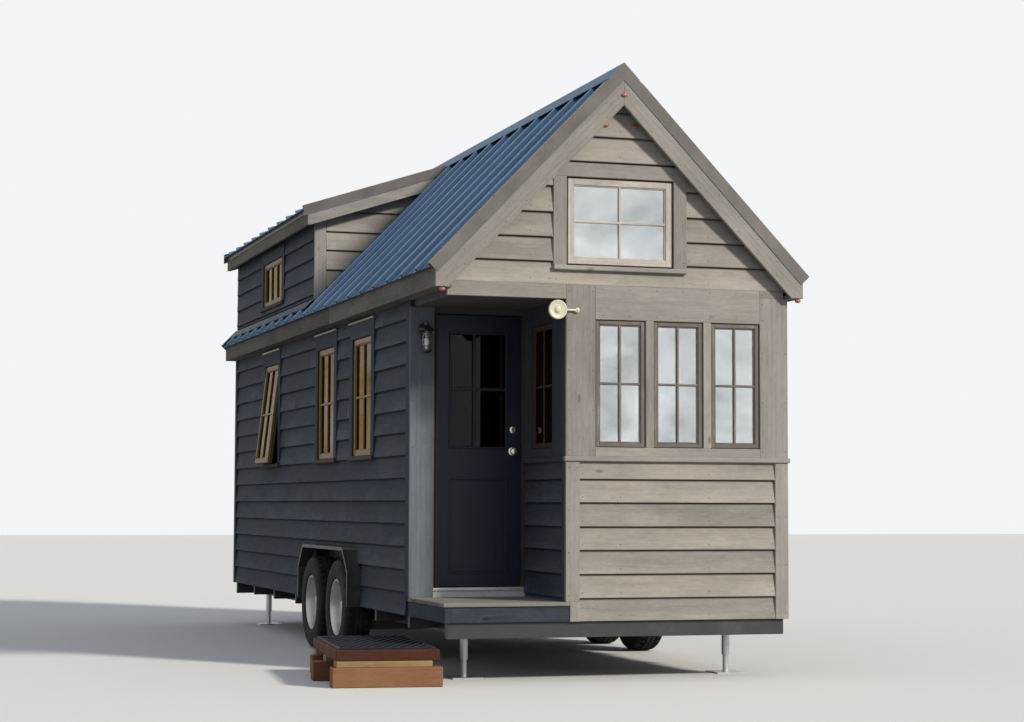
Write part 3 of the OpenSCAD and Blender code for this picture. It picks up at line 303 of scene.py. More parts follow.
# %% [markdown]
# The boards have a thin grey stain that the weather has half taken off. Close up one sees streaks
# along the fibre, wide flames from the growth rings, knots, and pale patches. Each board differs a
# little. A plain wood texture in object space would run straight through the joints, so every board
# carries its own coordinates in an attribute named grain: X runs along it, Y across it. A second
# attribute named tone holds one number for each board.

# %% Stained boards


def stained_boards(name, deep, middle, pale, roughness=0.8, knots=0.55, relief=0.0012,
                   head_shade=0.12, blotch=0.21, cast=None):
    """Weathered stain whose grain follows each board. Cast is the colour of its wide patches."""
    material, tree, shader = blank_material(name)
    grain = add_node(tree, "ShaderNodeAttribute", attribute_name="grain").outputs["Vector"]
    tone = add_node(tree, "ShaderNodeAttribute", attribute_name="tone").outputs["Fac"]
    rise = add_node(tree, "ShaderNodeAttribute", attribute_name="rise").outputs["Fac"]
    fibre = stretched(tree, grain, (9, 210, 210), 6.0, 0.7)
    streak = stretched(tree, grain, (2.6, 46, 46), 5.0, 0.65, 0.5)
    fleck = stretched(tree, grain, (22, 60, 60), 4.0, 0.7)
    patch = stretched(tree, grain, (1.7, 5.0, 5.0), 4.0, 0.65)
    rings = {"Vector": scaled(tree, grain, (0.6, 9.0, 9.0)), "Scale": 1.0, "Distortion": 5.5,
             "Detail": 3.0, "Detail Scale": 1.2}
    wave = add_node(tree, "ShaderNodeTexWave", rings, bands_direction="Y")
    # Each lapped board gets darker towards its head by head_shade: partly weathering, partly painted shade
    # under the lap above
    level = weigh(tree, [(reach(tree, fibre, 0.3, 0.7), 0.16), (reach(tree, streak, 0.3, 0.7), 0.15),
                         (reach(tree, fleck, 0.3, 0.7), 0.12), (wave.outputs["Fac"], 0.06),
                         (reach(tree, patch, 0.32, 0.68), blotch), (tone, 0.24), (rise, -head_shade)],
                  0.135 + 0.5 * (head_shade - blotch))
    stain = colours(tree, level, [(0.12, deep), (0.5, middle), (0.9, pale)])
    if cast:
        wide = stretched(tree, grain, (0.55, 2.4, 2.4), 3.0, 0.5)
        stain = mixed(tree, reach(tree, wide, 0.44, 0.62, 0.0, 0.5), stain, cast)
    # Knots: a few cells of a sparse cell pattern, each with a dark eye
    sparse = {"Vector": scaled(tree, grain, (3.6, 9.0, 9.0)), "Scale": 1.0, "Randomness": 1.0}
    cells = add_node(tree, "ShaderNodeTexVoronoi", sparse)
    eye = reach(tree, cells.outputs["Distance"], 0.05, 0.13, 1.0, 0.0)
    chosen = add_node(tree, "ShaderNodeSeparateColor", {"Color": cells.outputs["Color"]})
    knot = sum_up(tree, "MULTIPLY", eye, reach(tree, chosen.outputs[0], 0.72, 0.74))
    # A lapped board goes dark along its foot, partly wet end grain and partly a painted shadow line, and
    # black at its head, a painted shadow under the next lap
    drip_and_foot_shadow = reach(tree, rise, 0.0, 0.045, 0.5, 0.0)
    lap_shadow = reach(tree, rise, 0.885, 0.965, 0.0, 0.95)
    stains = weigh(tree, [(knot, knots), (drip_and_foot_shadow, 0.8), (lap_shadow, 1.0)])
    set_inputs(shader, {"Base Color": mixed(tree, stains, stain, times(deep, 0.35)),
                        "Roughness": weigh(tree, [(fibre, 0.16), (patch, 0.10)], roughness - 0.13),
                        "Specular IOR Level": 0.18})
    height = weigh(tree, [(fibre, 0.6), (streak, 0.35), (fleck, 0.3), (knot, 0.4)])
    bumped(tree, shader, height, relief, 0.8)
    return material


# One stain in lit and shaded copies: the pale front stains for faces towards the sun, the dark blue side
# stains for the shaded long walls, dormers, porch side and joists, and the pale blue post stain for the
# sky-lit post under the porch. Sun, shade and sky light are painted into these colours.
lit_stain = stained_boards("lit_stain", (0.19, 0.18, 0.165), (0.345, 0.323, 0.29),
                             (0.54, 0.495, 0.43), blotch=0.26)
lit_trim = stained_boards("lit_trim_stain", (0.185, 0.18, 0.172), (0.318, 0.30, 0.28),
                            (0.48, 0.447, 0.40), blotch=0.26)
shaded_stain = stained_boards("shaded_stain", (0.018, 0.024, 0.034), (0.047, 0.060, 0.082),
                            (0.120, 0.140, 0.172), head_shade=0.34, blotch=0.34,
                            cast=(0.056, 0.053, 0.052))
shaded_trim = stained_boards("shaded_trim_stain", (0.020, 0.025, 0.034), (0.042, 0.050, 0.064),
                           (0.086, 0.095, 0.112))
eave_stain = stained_boards("eave_stain", (0.045, 0.040, 0.035), (0.128, 0.114, 0.097),
                            (0.24, 0.215, 0.185), blotch=0.36)
sky_lit_post_stain = stained_boards("sky_lit_post_stain", (0.115, 0.138, 0.162), (0.182, 0.213, 0.245), (0.28, 0.31, 0.33))
sill_brown = stained_boards("sill_brown", (0.032, 0.025, 0.018), (0.080, 0.062, 0.044),
                            (0.16, 0.125, 0.085))
front_sash = stained_boards("front_sash", (0.10, 0.085, 0.075), (0.19, 0.165, 0.15), (0.62, 0.57, 0.52),
                            0.5, 0.0, 0.0003)
# The long walls' sashes are gold-brown as a painted warm reflection
gold_reflection_sash = stained_boards("gold_reflection_sash", (0.16, 0.098, 0.030), (0.26, 0.168, 0.054), (0.37, 0.25, 0.095),
                           0.45, 0.0, 0.0003)
jamb_brown = stained_boards("jamb_brown", (0.04, 0.028, 0.022), (0.07, 0.048, 0.037),
                            (0.11, 0.078, 0.058), 0.6)
deck_grey = stained_boards("deck_grey", (0.15, 0.14, 0.125), (0.26, 0.245, 0.22), (0.38, 0.36, 0.33),
                           0.88, 0.6, 0.002)
print("stains made:", len(bpy.data.materials))

# %% [markdown]
# The solids that stay are metal, glass, rubber and plain timber. One recipe serves them all: a body colour
# with soft patches, a roughness that wanders with them, and a fine relief. The patches keep a large painted
# face from looking like plastic. On the roof, dark bands beside every rib and every swage are painted shade,
# and the pale crowns of the ribs are a painted highlight. These bands repeat with the ribs, 381 mm apart, so
# the roof sheets add them to the recipe.

# %% Worn finishes
rib_pitch = 0.381
rib_first = 0.270


def rib_shade_and_highlight(tree, where):
    """Painted shade and highlight on the roof: dark bands beside the ribs and swages, and pale crowns."""
    apart = add_node(tree, "ShaderNodeSeparateXYZ", {0: where})
    first = rib_first + shift.y
    turns = sum_up(tree, "MULTIPLY_ADD", apart.outputs["Y"], 1 / rib_pitch, -first / rib_pitch)
    within = sum_up(tree, "FRACT", turns)
    # Painted shade: dark bands beside each rib and round each swage, varied by a wide noise
    stops = [(0.0, 0.0), (0.080, 0.0), (0.086, 0.8), (0.13, 0.0), (0.30, 0.0), (0.425, 0.8), (0.44, 0.8),
             (0.56, 0.6), (0.57, 0.6), (0.61, 0.0), (0.74, 0.0), (0.912, 1.0), (0.918, 0.0), (1.0, 0.0)]
    band = colours(tree, within, [(place, (v, v, v)) for place, v in stops])
    shade_strength = stretched(tree, where, (1.2, 9.0, 1.2), 4.0, 0.6)
    rib_shade = sum_up(tree, "MULTIPLY", band, reach(tree, shade_strength, 0.3, 0.7, 0.55, 0.95))
    # Painted highlight: the pale crowns of the ribs
    stops = [(0.0, 0.8), (0.024, 0.8), (0.034, 0.0), (0.964, 0.0), (0.976, 0.8), (1.0, 0.8)]
    return rib_shade, colours(tree, within, [(place, (v, v, v)) for place, v in stops])


def worn_finish(name, colour, roughness, metallic=0.0, spots=0.18, size=6.0, relief=0.0003, dust=None,
                gloss=0.5, bands=None, edge_tint=None):
    """A finish in object space: soft patches, fine speckle and a thin film of dust."""
    material, tree, shader = blank_material(name)
    where = object_space(tree)
    patch = noise(tree, where, size, 5.0, 0.6)
    speck = noise(tree, where, size * 35, 2.0, 0.5)
    level = weigh(tree, [(reach(tree, patch, 0.3, 0.7), 0.75), (speck, 0.25)])
    high = tuple(min(1.0, v) for v in times(colour, 1 + spots))
    body = colours(tree, level, [(0.1, times(colour, 1 - spots)), (0.5, colour), (0.9, high)])
    if dust:
        film = reach(tree, noise(tree, where, size * 0.45, 6.0, 0.7), 0.52, 0.80, 0.0, dust[1])
        body = mixed(tree, film, body, dust[0])
    # Bands, where given, add painted shade beside the ribs and a painted highlight on their crowns
    if bands:
        rib_shade, crown_highlight = bands(tree, where)
        body = mixed(tree, rib_shade, body, times(colour, 0.15))
        body = mixed(tree, crown_highlight, body, (0.36, 0.46, 0.58))
    if edge_tint:
        shader.inputs["Specular Tint"].default_value = (*edge_tint, 1.0)
    set_inputs(shader, {"Base Color": body, "Metallic": metallic, "Specular IOR Level": gloss,
                        "Roughness": weigh(tree, [(patch, 0.16), (speck, 0.08)], roughness - 0.12)})
    bumped(tree, shader, weigh(tree, [(speck, 0.6), (patch, 0.6)]), relief, 0.5)
    return material


roof_blue = worn_finish("roof_blue", (0.086, 0.158, 0.268), 0.44, metallic=0.55, spots=0.2, size=1.6,
                        relief=0.0015, dust=((0.20, 0.26, 0.34), 0.2), gloss=0.25, bands=rib_shade_and_highlight,
                        edge_tint=(0.45, 0.55, 0.70))
ridge_blue = worn_finish("ridge_blue", (0.080, 0.142, 0.235), 0.44, metallic=0.5, spots=0.2, size=2.4,
                         relief=0.0006, dust=((0.20, 0.25, 0.31), 0.25), gloss=0.25,
                         edge_tint=(0.45, 0.55, 0.70))
flash_dark = worn_finish("flash_dark", (0.128, 0.118, 0.112), 0.42, metallic=0.4, spots=0.3, size=2.5,
                         relief=0.0006, dust=((0.20, 0.19, 0.18), 0.3), gloss=0.3)
head_bronze = worn_finish("head_bronze", (0.27, 0.20, 0.09), 0.38, metallic=0.5, spots=0.2, size=5,
                          dust=((0.10, 0.09, 0.07), 0.4))
drip_brown = worn_finish("drip_brown", (0.085, 0.070, 0.048), 0.45, metallic=0.3, spots=0.3, size=5,
                         dust=((0.05, 0.045, 0.04), 0.4))
# Paler than the flashing: a painted highlight along the rolled hem
hem_highlight_grey = worn_finish("hem_highlight_grey", (0.13, 0.15, 0.19), 0.32, spots=0.2, size=4)
galvanised = worn_finish("galvanised_strip", (0.085, 0.10, 0.125), 0.5, metallic=0.3, spots=0.4, size=9,
                         dust=((0.24, 0.26, 0.28), 0.4), gloss=0.15, edge_tint=(0.4, 0.45, 0.5))
# Dark foam, also used as painted shade in the rib mouths
foam_and_shade_dark = worn_finish("closure_foam_and_rib_shade", (0.016, 0.017, 0.020), 0.9, size=30)
nail_rust = worn_finish("nail_heads", (0.085, 0.075, 0.068), 0.6, metallic=0.2, spots=0.4, size=60)
sill_white = worn_finish("sill_white", (0.82, 0.82, 0.80), 0.5, spots=0.06, size=8,
                         dust=((0.40, 0.38, 0.34), 0.4))
frame_black = worn_finish("frame_black", (0.030, 0.031, 0.034), 0.5, dust=((0.16, 0.14, 0.12), 0.5))
zinc = worn_finish("zinc_plate", (0.50, 0.51, 0.53), 0.42, metallic=0.85, dust=((0.2, 0.17, 0.14), 0.4))
rim_silver = worn_finish("rim_silver", (0.55, 0.56, 0.57), 0.38, metallic=0.5, dust=((0.25, 0.22, 0.18), 0.3))
tyre_rubber = worn_finish("tyre_rubber", (0.022, 0.022, 0.023), 0.8, relief=0.0008, size=12,
                          dust=((0.13, 0.12, 0.10), 0.5), gloss=0.2)
sill_bright = worn_finish("sill_bright", (0.82, 0.82, 0.80), 0.34, metallic=0.3,
                          dust=((0.40, 0.37, 0.33), 0.35))
nickel = worn_finish("satin_nickel", (0.62, 0.61, 0.58), 0.26, metallic=1.0, size=20, relief=0.0001)
lantern_black = worn_finish("lantern_black", (0.018, 0.018, 0.019), 0.42, size=20, relief=0.0003,
                            dust=((0.10, 0.10, 0.10), 0.3))
cream = worn_finish("cream_plastic", (0.74, 0.71, 0.54), 0.4, spots=0.07, size=14, relief=0.0002,
                    dust=((0.42, 0.40, 0.30), 0.35))
lens_red = worn_finish("red_lens", (0.44, 0.105, 0.080), 0.28, spots=0.25, size=30, relief=0.0002)
mat_black = worn_finish("mat_rubber", (0.015, 0.018, 0.029), 0.55, size=9, relief=0.0008,
                        dust=((0.06, 0.06, 0.065), 0.3), gloss=0.3)
# Dark rubber, also standing in as painted shade of the gap round each sash
gasket_and_gap_shade = worn_finish("gasket", (0.012, 0.012, 0.013), 0.7, size=20)
screw_head = worn_finish("screw_head", (0.20, 0.24, 0.30), 0.4, metallic=0.3, size=30)
print("materials made:", len(bpy.data.materials))

# %% [markdown]
# Glass is thin and a little dark, so one mostly sees what it mirrors. The panes of the gable and the bay get
# a pale silver colour with patchy metal, a painted reflection of the sky, and the panes of the other walls
# get dark gold-brown patches, a painted warm reflection. All panes of the walls are one solid, so their
# finish tells them apart by how far they lie from the front.

# %% Glass


def clear_glass(name, tint, index=1.5, sky_mirror_to=None):
    """A pane with faint waves and a trace of dust. Given a place along Y, panes in front of it are painted
    pale as a reflection of the sky, and those behind it get gold-brown patches of painted warm reflection,
    all with patchy metal.
    """
    material, tree, shader = blank_material(name)
    where = object_space(tree)
    wavy = noise(tree, where, 1.6, 1.0, 0.4)
    dirt = noise(tree, where, 7.0, 6.0, 0.7)
    body = colours(tree, dirt, [(0.3, tint), (0.9, times(tint, 0.9))])
    if sky_mirror_to is not None:
        # Painted reflections: pale sky in front, gold-brown patches behind, with patchy metal
        apart = add_node(tree, "ShaderNodeSeparateXYZ", {0: where})
        sky_mirrored = reach(tree, apart.outputs["Y"], sky_mirror_to - 0.01, sky_mirror_to, 1.0, 0.0)
        gold_reflection_patches = stretched(tree, where, (6.0, 6.0, 2.2), 3.0, 0.5, 0.4)
        gold_reflection = colours(tree, gold_reflection_patches, [(0.28, times(tint, 0.35)), (0.72, tint)])
        body = mixed(tree, sky_mirrored, gold_reflection, (0.86, 0.90, 0.90))
        mirror_patches = stretched(tree, where, (1.9, 1.9, 2.6), 4.0, 0.55, 0.6)
        set_inputs(shader, {"Metallic": reach(tree, mirror_patches, 0.32, 0.66, 0.40, 0.95),
                            "Specular Tint": (0.55, 0.45, 0.32, 1.0)})
    dusty = weigh(tree, [(reach(tree, dirt, 0.55, 0.85), 0.02)])
    set_inputs(shader, {"Base Color": body, "Roughness": dusty, "Transmission Weight": 1.0, "IOR": index})
    bumped(tree, shader, wavy, 0.001, 0.1)
    return material


# The gold-brown tint and the pale panes in front are painted reflections, not the colour of the glass
pane_glass = clear_glass("pane_glass", (0.20, 0.122, 0.044), 1.35, shift.y + 0.12)
door_pane = clear_glass("door_pane", (0.12, 0.12, 0.13), 1.3)
globe_glass = clear_glass("globe_glass", (0.93, 0.95, 0.94))

# %% [markdown]
# Rooms and roof decks are seen only through the panes and from below. They get plain pine with plank lines;
# the pine of the rooms is darkened, painted shade of the unlit room behind the glass. Their solids have no
# board attributes, so this one finish reads object space, and a brick pattern draws the planks.

# %% Plain planks


def plain_planks(name, deep, pale, plank=0.12, length=2.4, turned=(0, 0, 0), roughness=0.7):
    """Pine boards side by side on a solid, drawn by a brick pattern."""
    material, tree, shader = blank_material(name)
    laid = scaled(tree, object_space(tree), (1, 1, 1), turned)
    rows = {"Vector": laid, "Scale": 1.0, "Mortar Size": 0.0016, "Mortar Smooth": 0.2,
            "Brick Width": length, "Row Height": plank,
            "Color1": (0, 0, 0, 1), "Color2": (1, 1, 1, 1), "Mortar": (0.5, 0.5, 0.5, 1)}
    bricks = add_node(tree, "ShaderNodeTexBrick", rows)
    fibre = stretched(tree, laid, (2.0, 90, 90), 5.0, 0.65)
    patch = noise(tree, laid, 2.4, 3.0, 0.5)
    each = add_node(tree, "ShaderNodeSeparateColor", {"Color": bricks.outputs["Color"]})
    level = weigh(tree, [(reach(tree, fibre, 0.3, 0.7), 0.4), (patch, 0.25), (each.outputs[0], 0.35)])
    body = colours(tree, level, [(0.1, deep), (0.9, pale)])
    seam = bricks.outputs["Fac"]
    set_inputs(shader, {"Base Color": mixed(tree, seam, body, times(deep, 0.25)),
                        "Roughness": weigh(tree, [(fibre, 0.2)], roughness - 0.1),
                        "Specular IOR Level": 0.18})
    bumped(tree, shader, weigh(tree, [(seam, -1.0), (fibre, 0.15)]), 0.002, 0.6)
    return material


quarter = math.radians(90)
# Darkened pine: painted shade of the room seen through the panes
shaded_lining = plain_planks("shaded_room_lining", (0.13, 0.095, 0.06), (0.21, 0.155, 0.10))
room_floor = plain_planks("room_floor", (0.12, 0.08, 0.05), (0.20, 0.14, 0.09), 0.09, 1.8,
                          (0, 0, quarter))
soffit_wood = plain_planks("soffit_boards", (0.10, 0.085, 0.07), (0.17, 0.145, 0.12), 0.14, 3.0,
                           (0, 0, quarter))
porch_lining = plain_planks("porch_lining", (0.060, 0.058, 0.060), (0.105, 0.10, 0.10), 0.09, 3.0)

# %% [markdown]
# A solid that keeps its shape only gets a finish, and its sharp arrises are eased. The bevel is a
# modifier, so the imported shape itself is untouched. Its triangles are loose, so they are welded
# first, also by a modifier.

# %% Dress the solids that stay


def dress(node, material, ease=0.0):
    """Gives a solid its finish and, if asked, eased edges."""
    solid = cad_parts[node]
    for place in solid.material_slots:
        place.material = material
    if ease:
        weld = solid.modifiers.new("weld", "WELD")
        weld.merge_threshold = 0.00005
        soft = solid.modifiers.new("ease", "BEVEL")
        soft.width = ease
        soft.segments = 1
        soft.limit_method = "ANGLE"
        soft.angle_limit = math.radians(35)


finishes = [(frame_black, 0.002, "trailer_rails cross_members drawbar"),
            (frame_black, 0.0, "axles fenders"),
            (shaded_lining, 0.0, "left_wall right_wall rear_wall bay_wall bay_side_wall gable_wall"),
            (shaded_lining, 0.0, "dormer_walls dormer_cheeks"),
            (soffit_wood, 0.0, "left_roof_deck right_roof_deck eave_decks dormer_roofs"),
            (porch_lining, 0.0, "porch_ceiling porch_beams door_header"),
            (roof_blue, 0.0, "left_roof_sheet right_roof_sheet dormer_sheets"),
            (ridge_blue, 0.0, "ridge_cap"), (flash_dark, 0.0, "rake_flashing"), (zinc, 0.0, "jacks"),
            (room_floor, 0.0, "floor"), (pane_glass, 0.0, "window_glass"), (door_pane, 0.0, "door_glass"),
            (nickel, 0.0, "door_hinges"), (jamb_brown, 0.0, "door_jambs"), (sill_white, 0.002, "door_sill")]
for material, ease, nodes in finishes:
    for node in nodes.split():
        dress(node, material, ease)
print("solids dressed:", sum(len(nodes.split()) for material, ease, nodes in finishes))

# %% [markdown]
# Every board is a box, eased along its edges. It is shaped in a mesh of its own, gets its grain and
# tone there, and then joins the piece that it belongs to. The random numbers are seeded, so each run
# gives the same boards.

# %% Board helpers
chance = random.Random(11)
grain_order = {"x": (0, 1, 2), "y": (1, 0, 2), "z": (2, 0, 1), "rake": (0, 2, 1)}


def new_piece():
    """An empty mesh that boards can join."""
    bm = bmesh.new()
    bm.verts.layers.float_vector.new("grain")
    bm.verts.layers.float.new("tone")
    bm.verts.layers.float.new("rise")
    return bm


def new_look():
    """Where one board was sawn from the log, and how dark it is."""
    return Vector((chance.uniform(0, 60), chance.uniform(0, 20), chance.uniform(0, 20))), chance.random()


def join(bm, part, along, place=None, look=None, lap=None, level=None):
    """Writes the grain of a finished part and adds it to the piece.

    Lap is a course's foot and height. Level turns a sloping board flat, for its grain only.
    """
    sawn, shade = look or new_look()
    grain = part.verts.layers.float_vector.new("grain")
    tone = part.verts.layers.float.new("tone")
    rise = part.verts.layers.float.new("rise")
    order = grain_order[along]
    for vert in part.verts:
        flat = level @ vert.co if level else vert.co
        vert[grain] = Vector([flat[i] for i in order]) + sawn
        vert[tone] = shade
        vert[rise] = (vert.co.z - lap[0]) / lap[1] if lap else 0.5
    if place is not None:
        bmesh.ops.transform(part, matrix=place, verts=part.verts)
    mesh = bpy.data.meshes.new("part")
    part.to_mesh(mesh)
    part.free()
    bm.from_mesh(mesh)
    bpy.data.meshes.remove(mesh)


def ease_edges(part, width, segments=1, edges=None):
    """Rounds the arrises of a part."""
    bmesh.ops.bevel(part, geom=edges or part.edges[:], offset=width, offset_type="OFFSET", affect="EDGES",
                    segments=segments, profile=0.5, material=-1, clamp_overlap=True)


def make_box(low, high):
    """A plain box as a mesh of its own."""
    part = bmesh.new()
    low, high = Vector(low), Vector(high)
    bmesh.ops.create_cube(part, size=1.0)
    bmesh.ops.scale(part, vec=high - low, verts=part.verts)
    bmesh.ops.translate(part, vec=(low + high) / 2, verts=part.verts)
    return part


def side_box(side, low, high):
    """A box of the right side of the house, or its mirror image on the left."""
    x0, x1 = sorted((side * low[0], side * high[0]))
    return make_box((x0, *low[1:]), (x1, *high[1:]))


def board(bm, low, high, along, ease=0.002, place=None, look=None, segments=1, side=1):
    """Adds one eased board between two corners, with its grain along an axis."""
    part = side_box(side, low, high)
    if ease:
        ease_edges(part, ease, segments)
    join(bm, part, along, place, look)


def cut_away(part, point, normal):
    """Saws off what lies on the normal's side of a plane, and closes the cut."""
    whole = part.verts[:] + part.edges[:] + part.faces[:]
    done = bmesh.ops.bisect_plane(part, geom=whole, plane_co=point, plane_no=normal, clear_outer=True)
    rim = [item for item in done["geom_cut"] if isinstance(item, bmesh.types.BMEdge)]
    if rim:
        bmesh.ops.holes_fill(part, edges=rim, sides=0)


def sawn(bm, part, along, cuts=(), ease=0.002, place=None, level=None):
    """Saws a part along planes, eases its edges and adds it to the piece."""
    for point, normal in cuts:
        cut_away(part, point, normal)
    if ease:
        ease_edges(part, ease)
    join(bm, part, along, place, level=level)


def finish_piece(name, bm, material, stands_for=(), body="house", smooth=False):
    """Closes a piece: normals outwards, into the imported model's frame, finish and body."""
    bmesh.ops.recalc_face_normals(bm, faces=bm.faces)
    bmesh.ops.translate(bm, vec=shift, verts=bm.verts)
    mesh = bpy.data.meshes.new(name)
    bm.to_mesh(mesh)
    bm.free()
    if smooth:
        mesh.shade_smooth()
        mesh.set_sharp_from_angle(angle=math.radians(38))
    piece = bpy.data.objects.new(name, mesh)
    bpy.context.scene.collection.objects.link(piece)
    mesh.materials.append(material)
    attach(piece, body)
    if stands_for:
        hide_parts(*stands_for)
    print(name, len(mesh.polygons), "faces")
    return piece


# %% [markdown]
# Lap siding: each course is a board with a thick foot that stands over the thin head of the one
# below, so every course throws a line of shadow. The side of a course that shows is 152 mm high.
# Flat boards with a bump would lose that shadow at the corners and beside the windows, so the
# wedges are real. A wall is described flat, as it looks from outside: X to the right, Z up, the
# frame's face at Y = 0. The courses are cut to plain rectangles round every window. One nail holds
# each board at every stud and at its ends, just above its foot, and each head is a low cone.

# %% Lap siding
butt_t = 0.025
tip_t = 0.007
nail_rise = 0.034
nail_in = 0.022


def rectangles(left, right, low, high, holes):
    """Cuts a course into rectangles that leave the holes free."""
    near = [h for h in holes if h[2] < high - 1e-6 and h[3] > low + 1e-6]
    edges = {left, right}
    for hole in near:
        edges.update(x for x in hole[:2] if left < x < right)
    rows = []
    edges = sorted(edges)
    for a, b in zip(edges, edges[1:]):
        bottom, top = low, high
        for hole in near:
            if hole[0] < (a + b) / 2 < hole[1]:
                if hole[2] <= bottom:
                    bottom = max(bottom, hole[3])
                else:
                    top = min(top, hole[2])
        if top - bottom > 0.004 and b - a > 0.003:
            rows.append((a, b, bottom, top))
    return rows


def lap_depth(z, foot, head):
    """How far a course stands out at a height."""
    return butt_t - (butt_t - tip_t) * (z - foot) / (head - foot)


def lap_board(left, right, foot, head, low, high):
    """The part of a course that lies between two heights, as a wedge."""
    part = make_box((left, -1.0, low), (right, 0.0, high))
    for vert in part.verts:
        if vert.co.y < -0.5:
            vert.co.y = -lap_depth(vert.co.z, foot, head)
    if abs(low - foot) < 1e-5:
        nose = [e for e in part.edges if all(v.co.y < -tip_t and v.co.z < low + 1e-5 for v in e.verts)]
        ease_edges(part, 0.0025, 2, nose)
    return part


nail_bm = bmesh.new()
stud_pitch = 0.610


def nail(place, x, depth, z):
    """One round nail head, standing a little out of a board on a flat wall plan."""
    part = bmesh.new()
    bmesh.ops.create_cone(part, cap_ends=True, segments=8, radius1=0.0036, radius2=0.0028, depth=0.0014)
    stand = Matrix.Translation((x, -depth - 0.0004, z)) @ Matrix.Rotation(math.radians(90), 4, "X")
    join(nail_bm, part, "x", place @ stand)


def clad(bm, place, left, right, lines, head, holes=(), slants=(), joints=(), saw=()):
    """Covers a wall with courses that start at the given heights, cut round holes and along planes."""
    for row, foot in enumerate(lines):
        top = lines[row + 1] if row + 1 < len(lines) else foot + 0.155
        high = min(top, head)
        if high - foot < 0.006:
            continue
        breaks = sorted(x for x in joints[row % len(joints)] if left < x < right) if joints else []
        ends = [left, *breaks, right]
        for a, b in zip(ends, ends[1:]):
            look = new_look()
            seam = 0.0008 if breaks else 0.0
            for x0, x1, low, up in rectangles(a, b, foot, high, holes):
                x0 += seam if x0 == a and a != left else 0.0
                x1 -= seam if x1 == b and b != right else 0.0
                part = lap_board(x0, x1, foot, top, low, up + 0.002)
                cuts = list(saw) + [(point, normal) for s0, s1, point, normal in slants
                                    if x0 > s0 - 1e-5 and x1 < s1 + 1e-5]
                for point, normal in cuts:
                    cut_away(part, point, normal)
                if len(part.faces) < 4:
                    part.free()
                    continue
                join(bm, part, "x", place, look, (foot, top - foot))
                if low > foot + 1e-5 or up - low < 0.05 or x1 - x0 <= 0.06:
                    continue
                spots = [x0 + nail_in, x1 - nail_in]
                first = math.ceil((x0 + 0.10) / stud_pitch)
                spots += [i * stud_pitch for i in range(first, 99) if i * stud_pitch < x1 - 0.10]
                z = foot + nail_rise
                for x in spots:
                    above = Vector((x, 0, z + 0.02))
                    if all((above - Vector(p)).dot(Vector(n)) < -0.015 for p, n in cuts):
                        nail(place, x, lap_depth(z, foot, top), z)


def facing(x, y, degrees):
    """Puts a flat wall plan on a wall, turned about Z."""
    return Matrix.Translation((x, y, 0)) @ Matrix.Rotation(math.radians(degrees), 4, "Z")


on_front = facing(0, front_y, 0)
on_left = facing(-frame_x, 0, -90)
on_right = facing(frame_x, 0, 90)
on_rear = facing(0, rear_y, 180)

# %% [markdown]
# The windows come first as plain data, because siding, casings, sashes and bars all need them:
# which wall, where along it, foot, width, height, panes across and panes up.

# %% Windows
casing_w = 0.090
side_foot = 1.4603
side_size = (0.570, 0.860)
bay_foot = 1.4803
bay_high = 0.818
bay_corner = -0.364
bay_margin = 0.192
bay_post = 0.054
bay_win = ((half_width - bay_corner) - 2 * bay_margin - 2 * bay_post) / 3
bay_mid = (bay_corner + half_width) / 2
gable_foot = 2.6403
gable_size = (0.735, 0.574)
dormer_foot = slope_z(frame_x, 0.029) + 0.072
dormer_edge = half_width + 0.123
dormer_high = dormer_z(dormer_edge) - 0.216 - dormer_foot
dormer_wide = 0.820
left_places = (2.235, 3.420, 5.585)
right_places = (0.700, 2.235, 3.420, 5.585)
dormer_place = 5.595
windows = []
for i in (-1, 0, 1):
    place = bay_mid + i * (bay_win + bay_post)
    windows.append(("bay", on_front, place, bay_foot, bay_win, bay_high, 2, 2))
on_bay_side = facing(bay_frame_x, 0, -90)
windows.append(("bay", on_bay_side, -0.500, bay_foot, 0.440, bay_high, 2, 2))
windows.append(("gable", on_front, 0.0, gable_foot, *gable_size, 2, 2))
for y in left_places:
    windows.append(("left", on_left, -y, side_foot, *side_size, 2, 2))
for y in right_places:
    windows.append(("right", on_right, y, side_foot, *side_size, 2, 2))
windows.append(("dormer", on_left, -dormer_place, dormer_foot, dormer_wide, dormer_high, 3, 1))
windows.append(("dormer", on_right, dormer_place, dormer_foot, dormer_wide, dormer_high, 3, 1))
windows.append(("rear", on_rear, 0.0, side_foot, *side_size, 2, 2))
windows.append(("rear", on_rear, 0.0, gable_foot, *gable_size, 2, 2))
sill_h = 0.030


def casing_hole(x, foot, wide, high, head=casing_w):
    """The rectangle that a window's casing takes out of the siding."""
    return (x - wide / 2 - casing_w, x + wide / 2 + casing_w, foot - sill_h, foot + high + head)


print(len(windows), "windows; dormer panes", round(dormer_high, 3), "m high")

# %% [markdown]
# The long walls. Their lowest courses stop at the wheel arch, whose upper corners are cut off at 45
# degrees, so the rectangles beside it are sawn along that slope. The boards are bought in lengths of
# up to 4.9 m, so each course has one or two butt joints, which never stand above each other.

# %% Siding of the long walls
course = 0.152
long_lines = [foot_z + 0.002 + i * course for i in range(14)]
arch_mid = 3.100
arch_run = 0.860
arch_crown = 0.688
arch_top = 0.800
arch_shoulder = 0.628
head_board = 0.114


def arch_holes(mid):
    """The wheel arch as three rectangles."""
    return [(mid - arch_crown, mid + arch_crown, 0.0, arch_top),
            (mid - arch_run, mid - arch_crown, 0.0, arch_shoulder),
            (mid + arch_crown, mid + arch_run, 0.0, arch_shoulder)]


def arch_slants(mid):
    """The two sloping saw cuts over the corners of the arch."""
    return [(mid - arch_run, mid - arch_crown, (mid - arch_run, 0, arch_shoulder), (1, 0, -1)),
            (mid + arch_crown, mid + arch_run, (mid + arch_run, 0, arch_shoulder), (-1, 0, -1))]


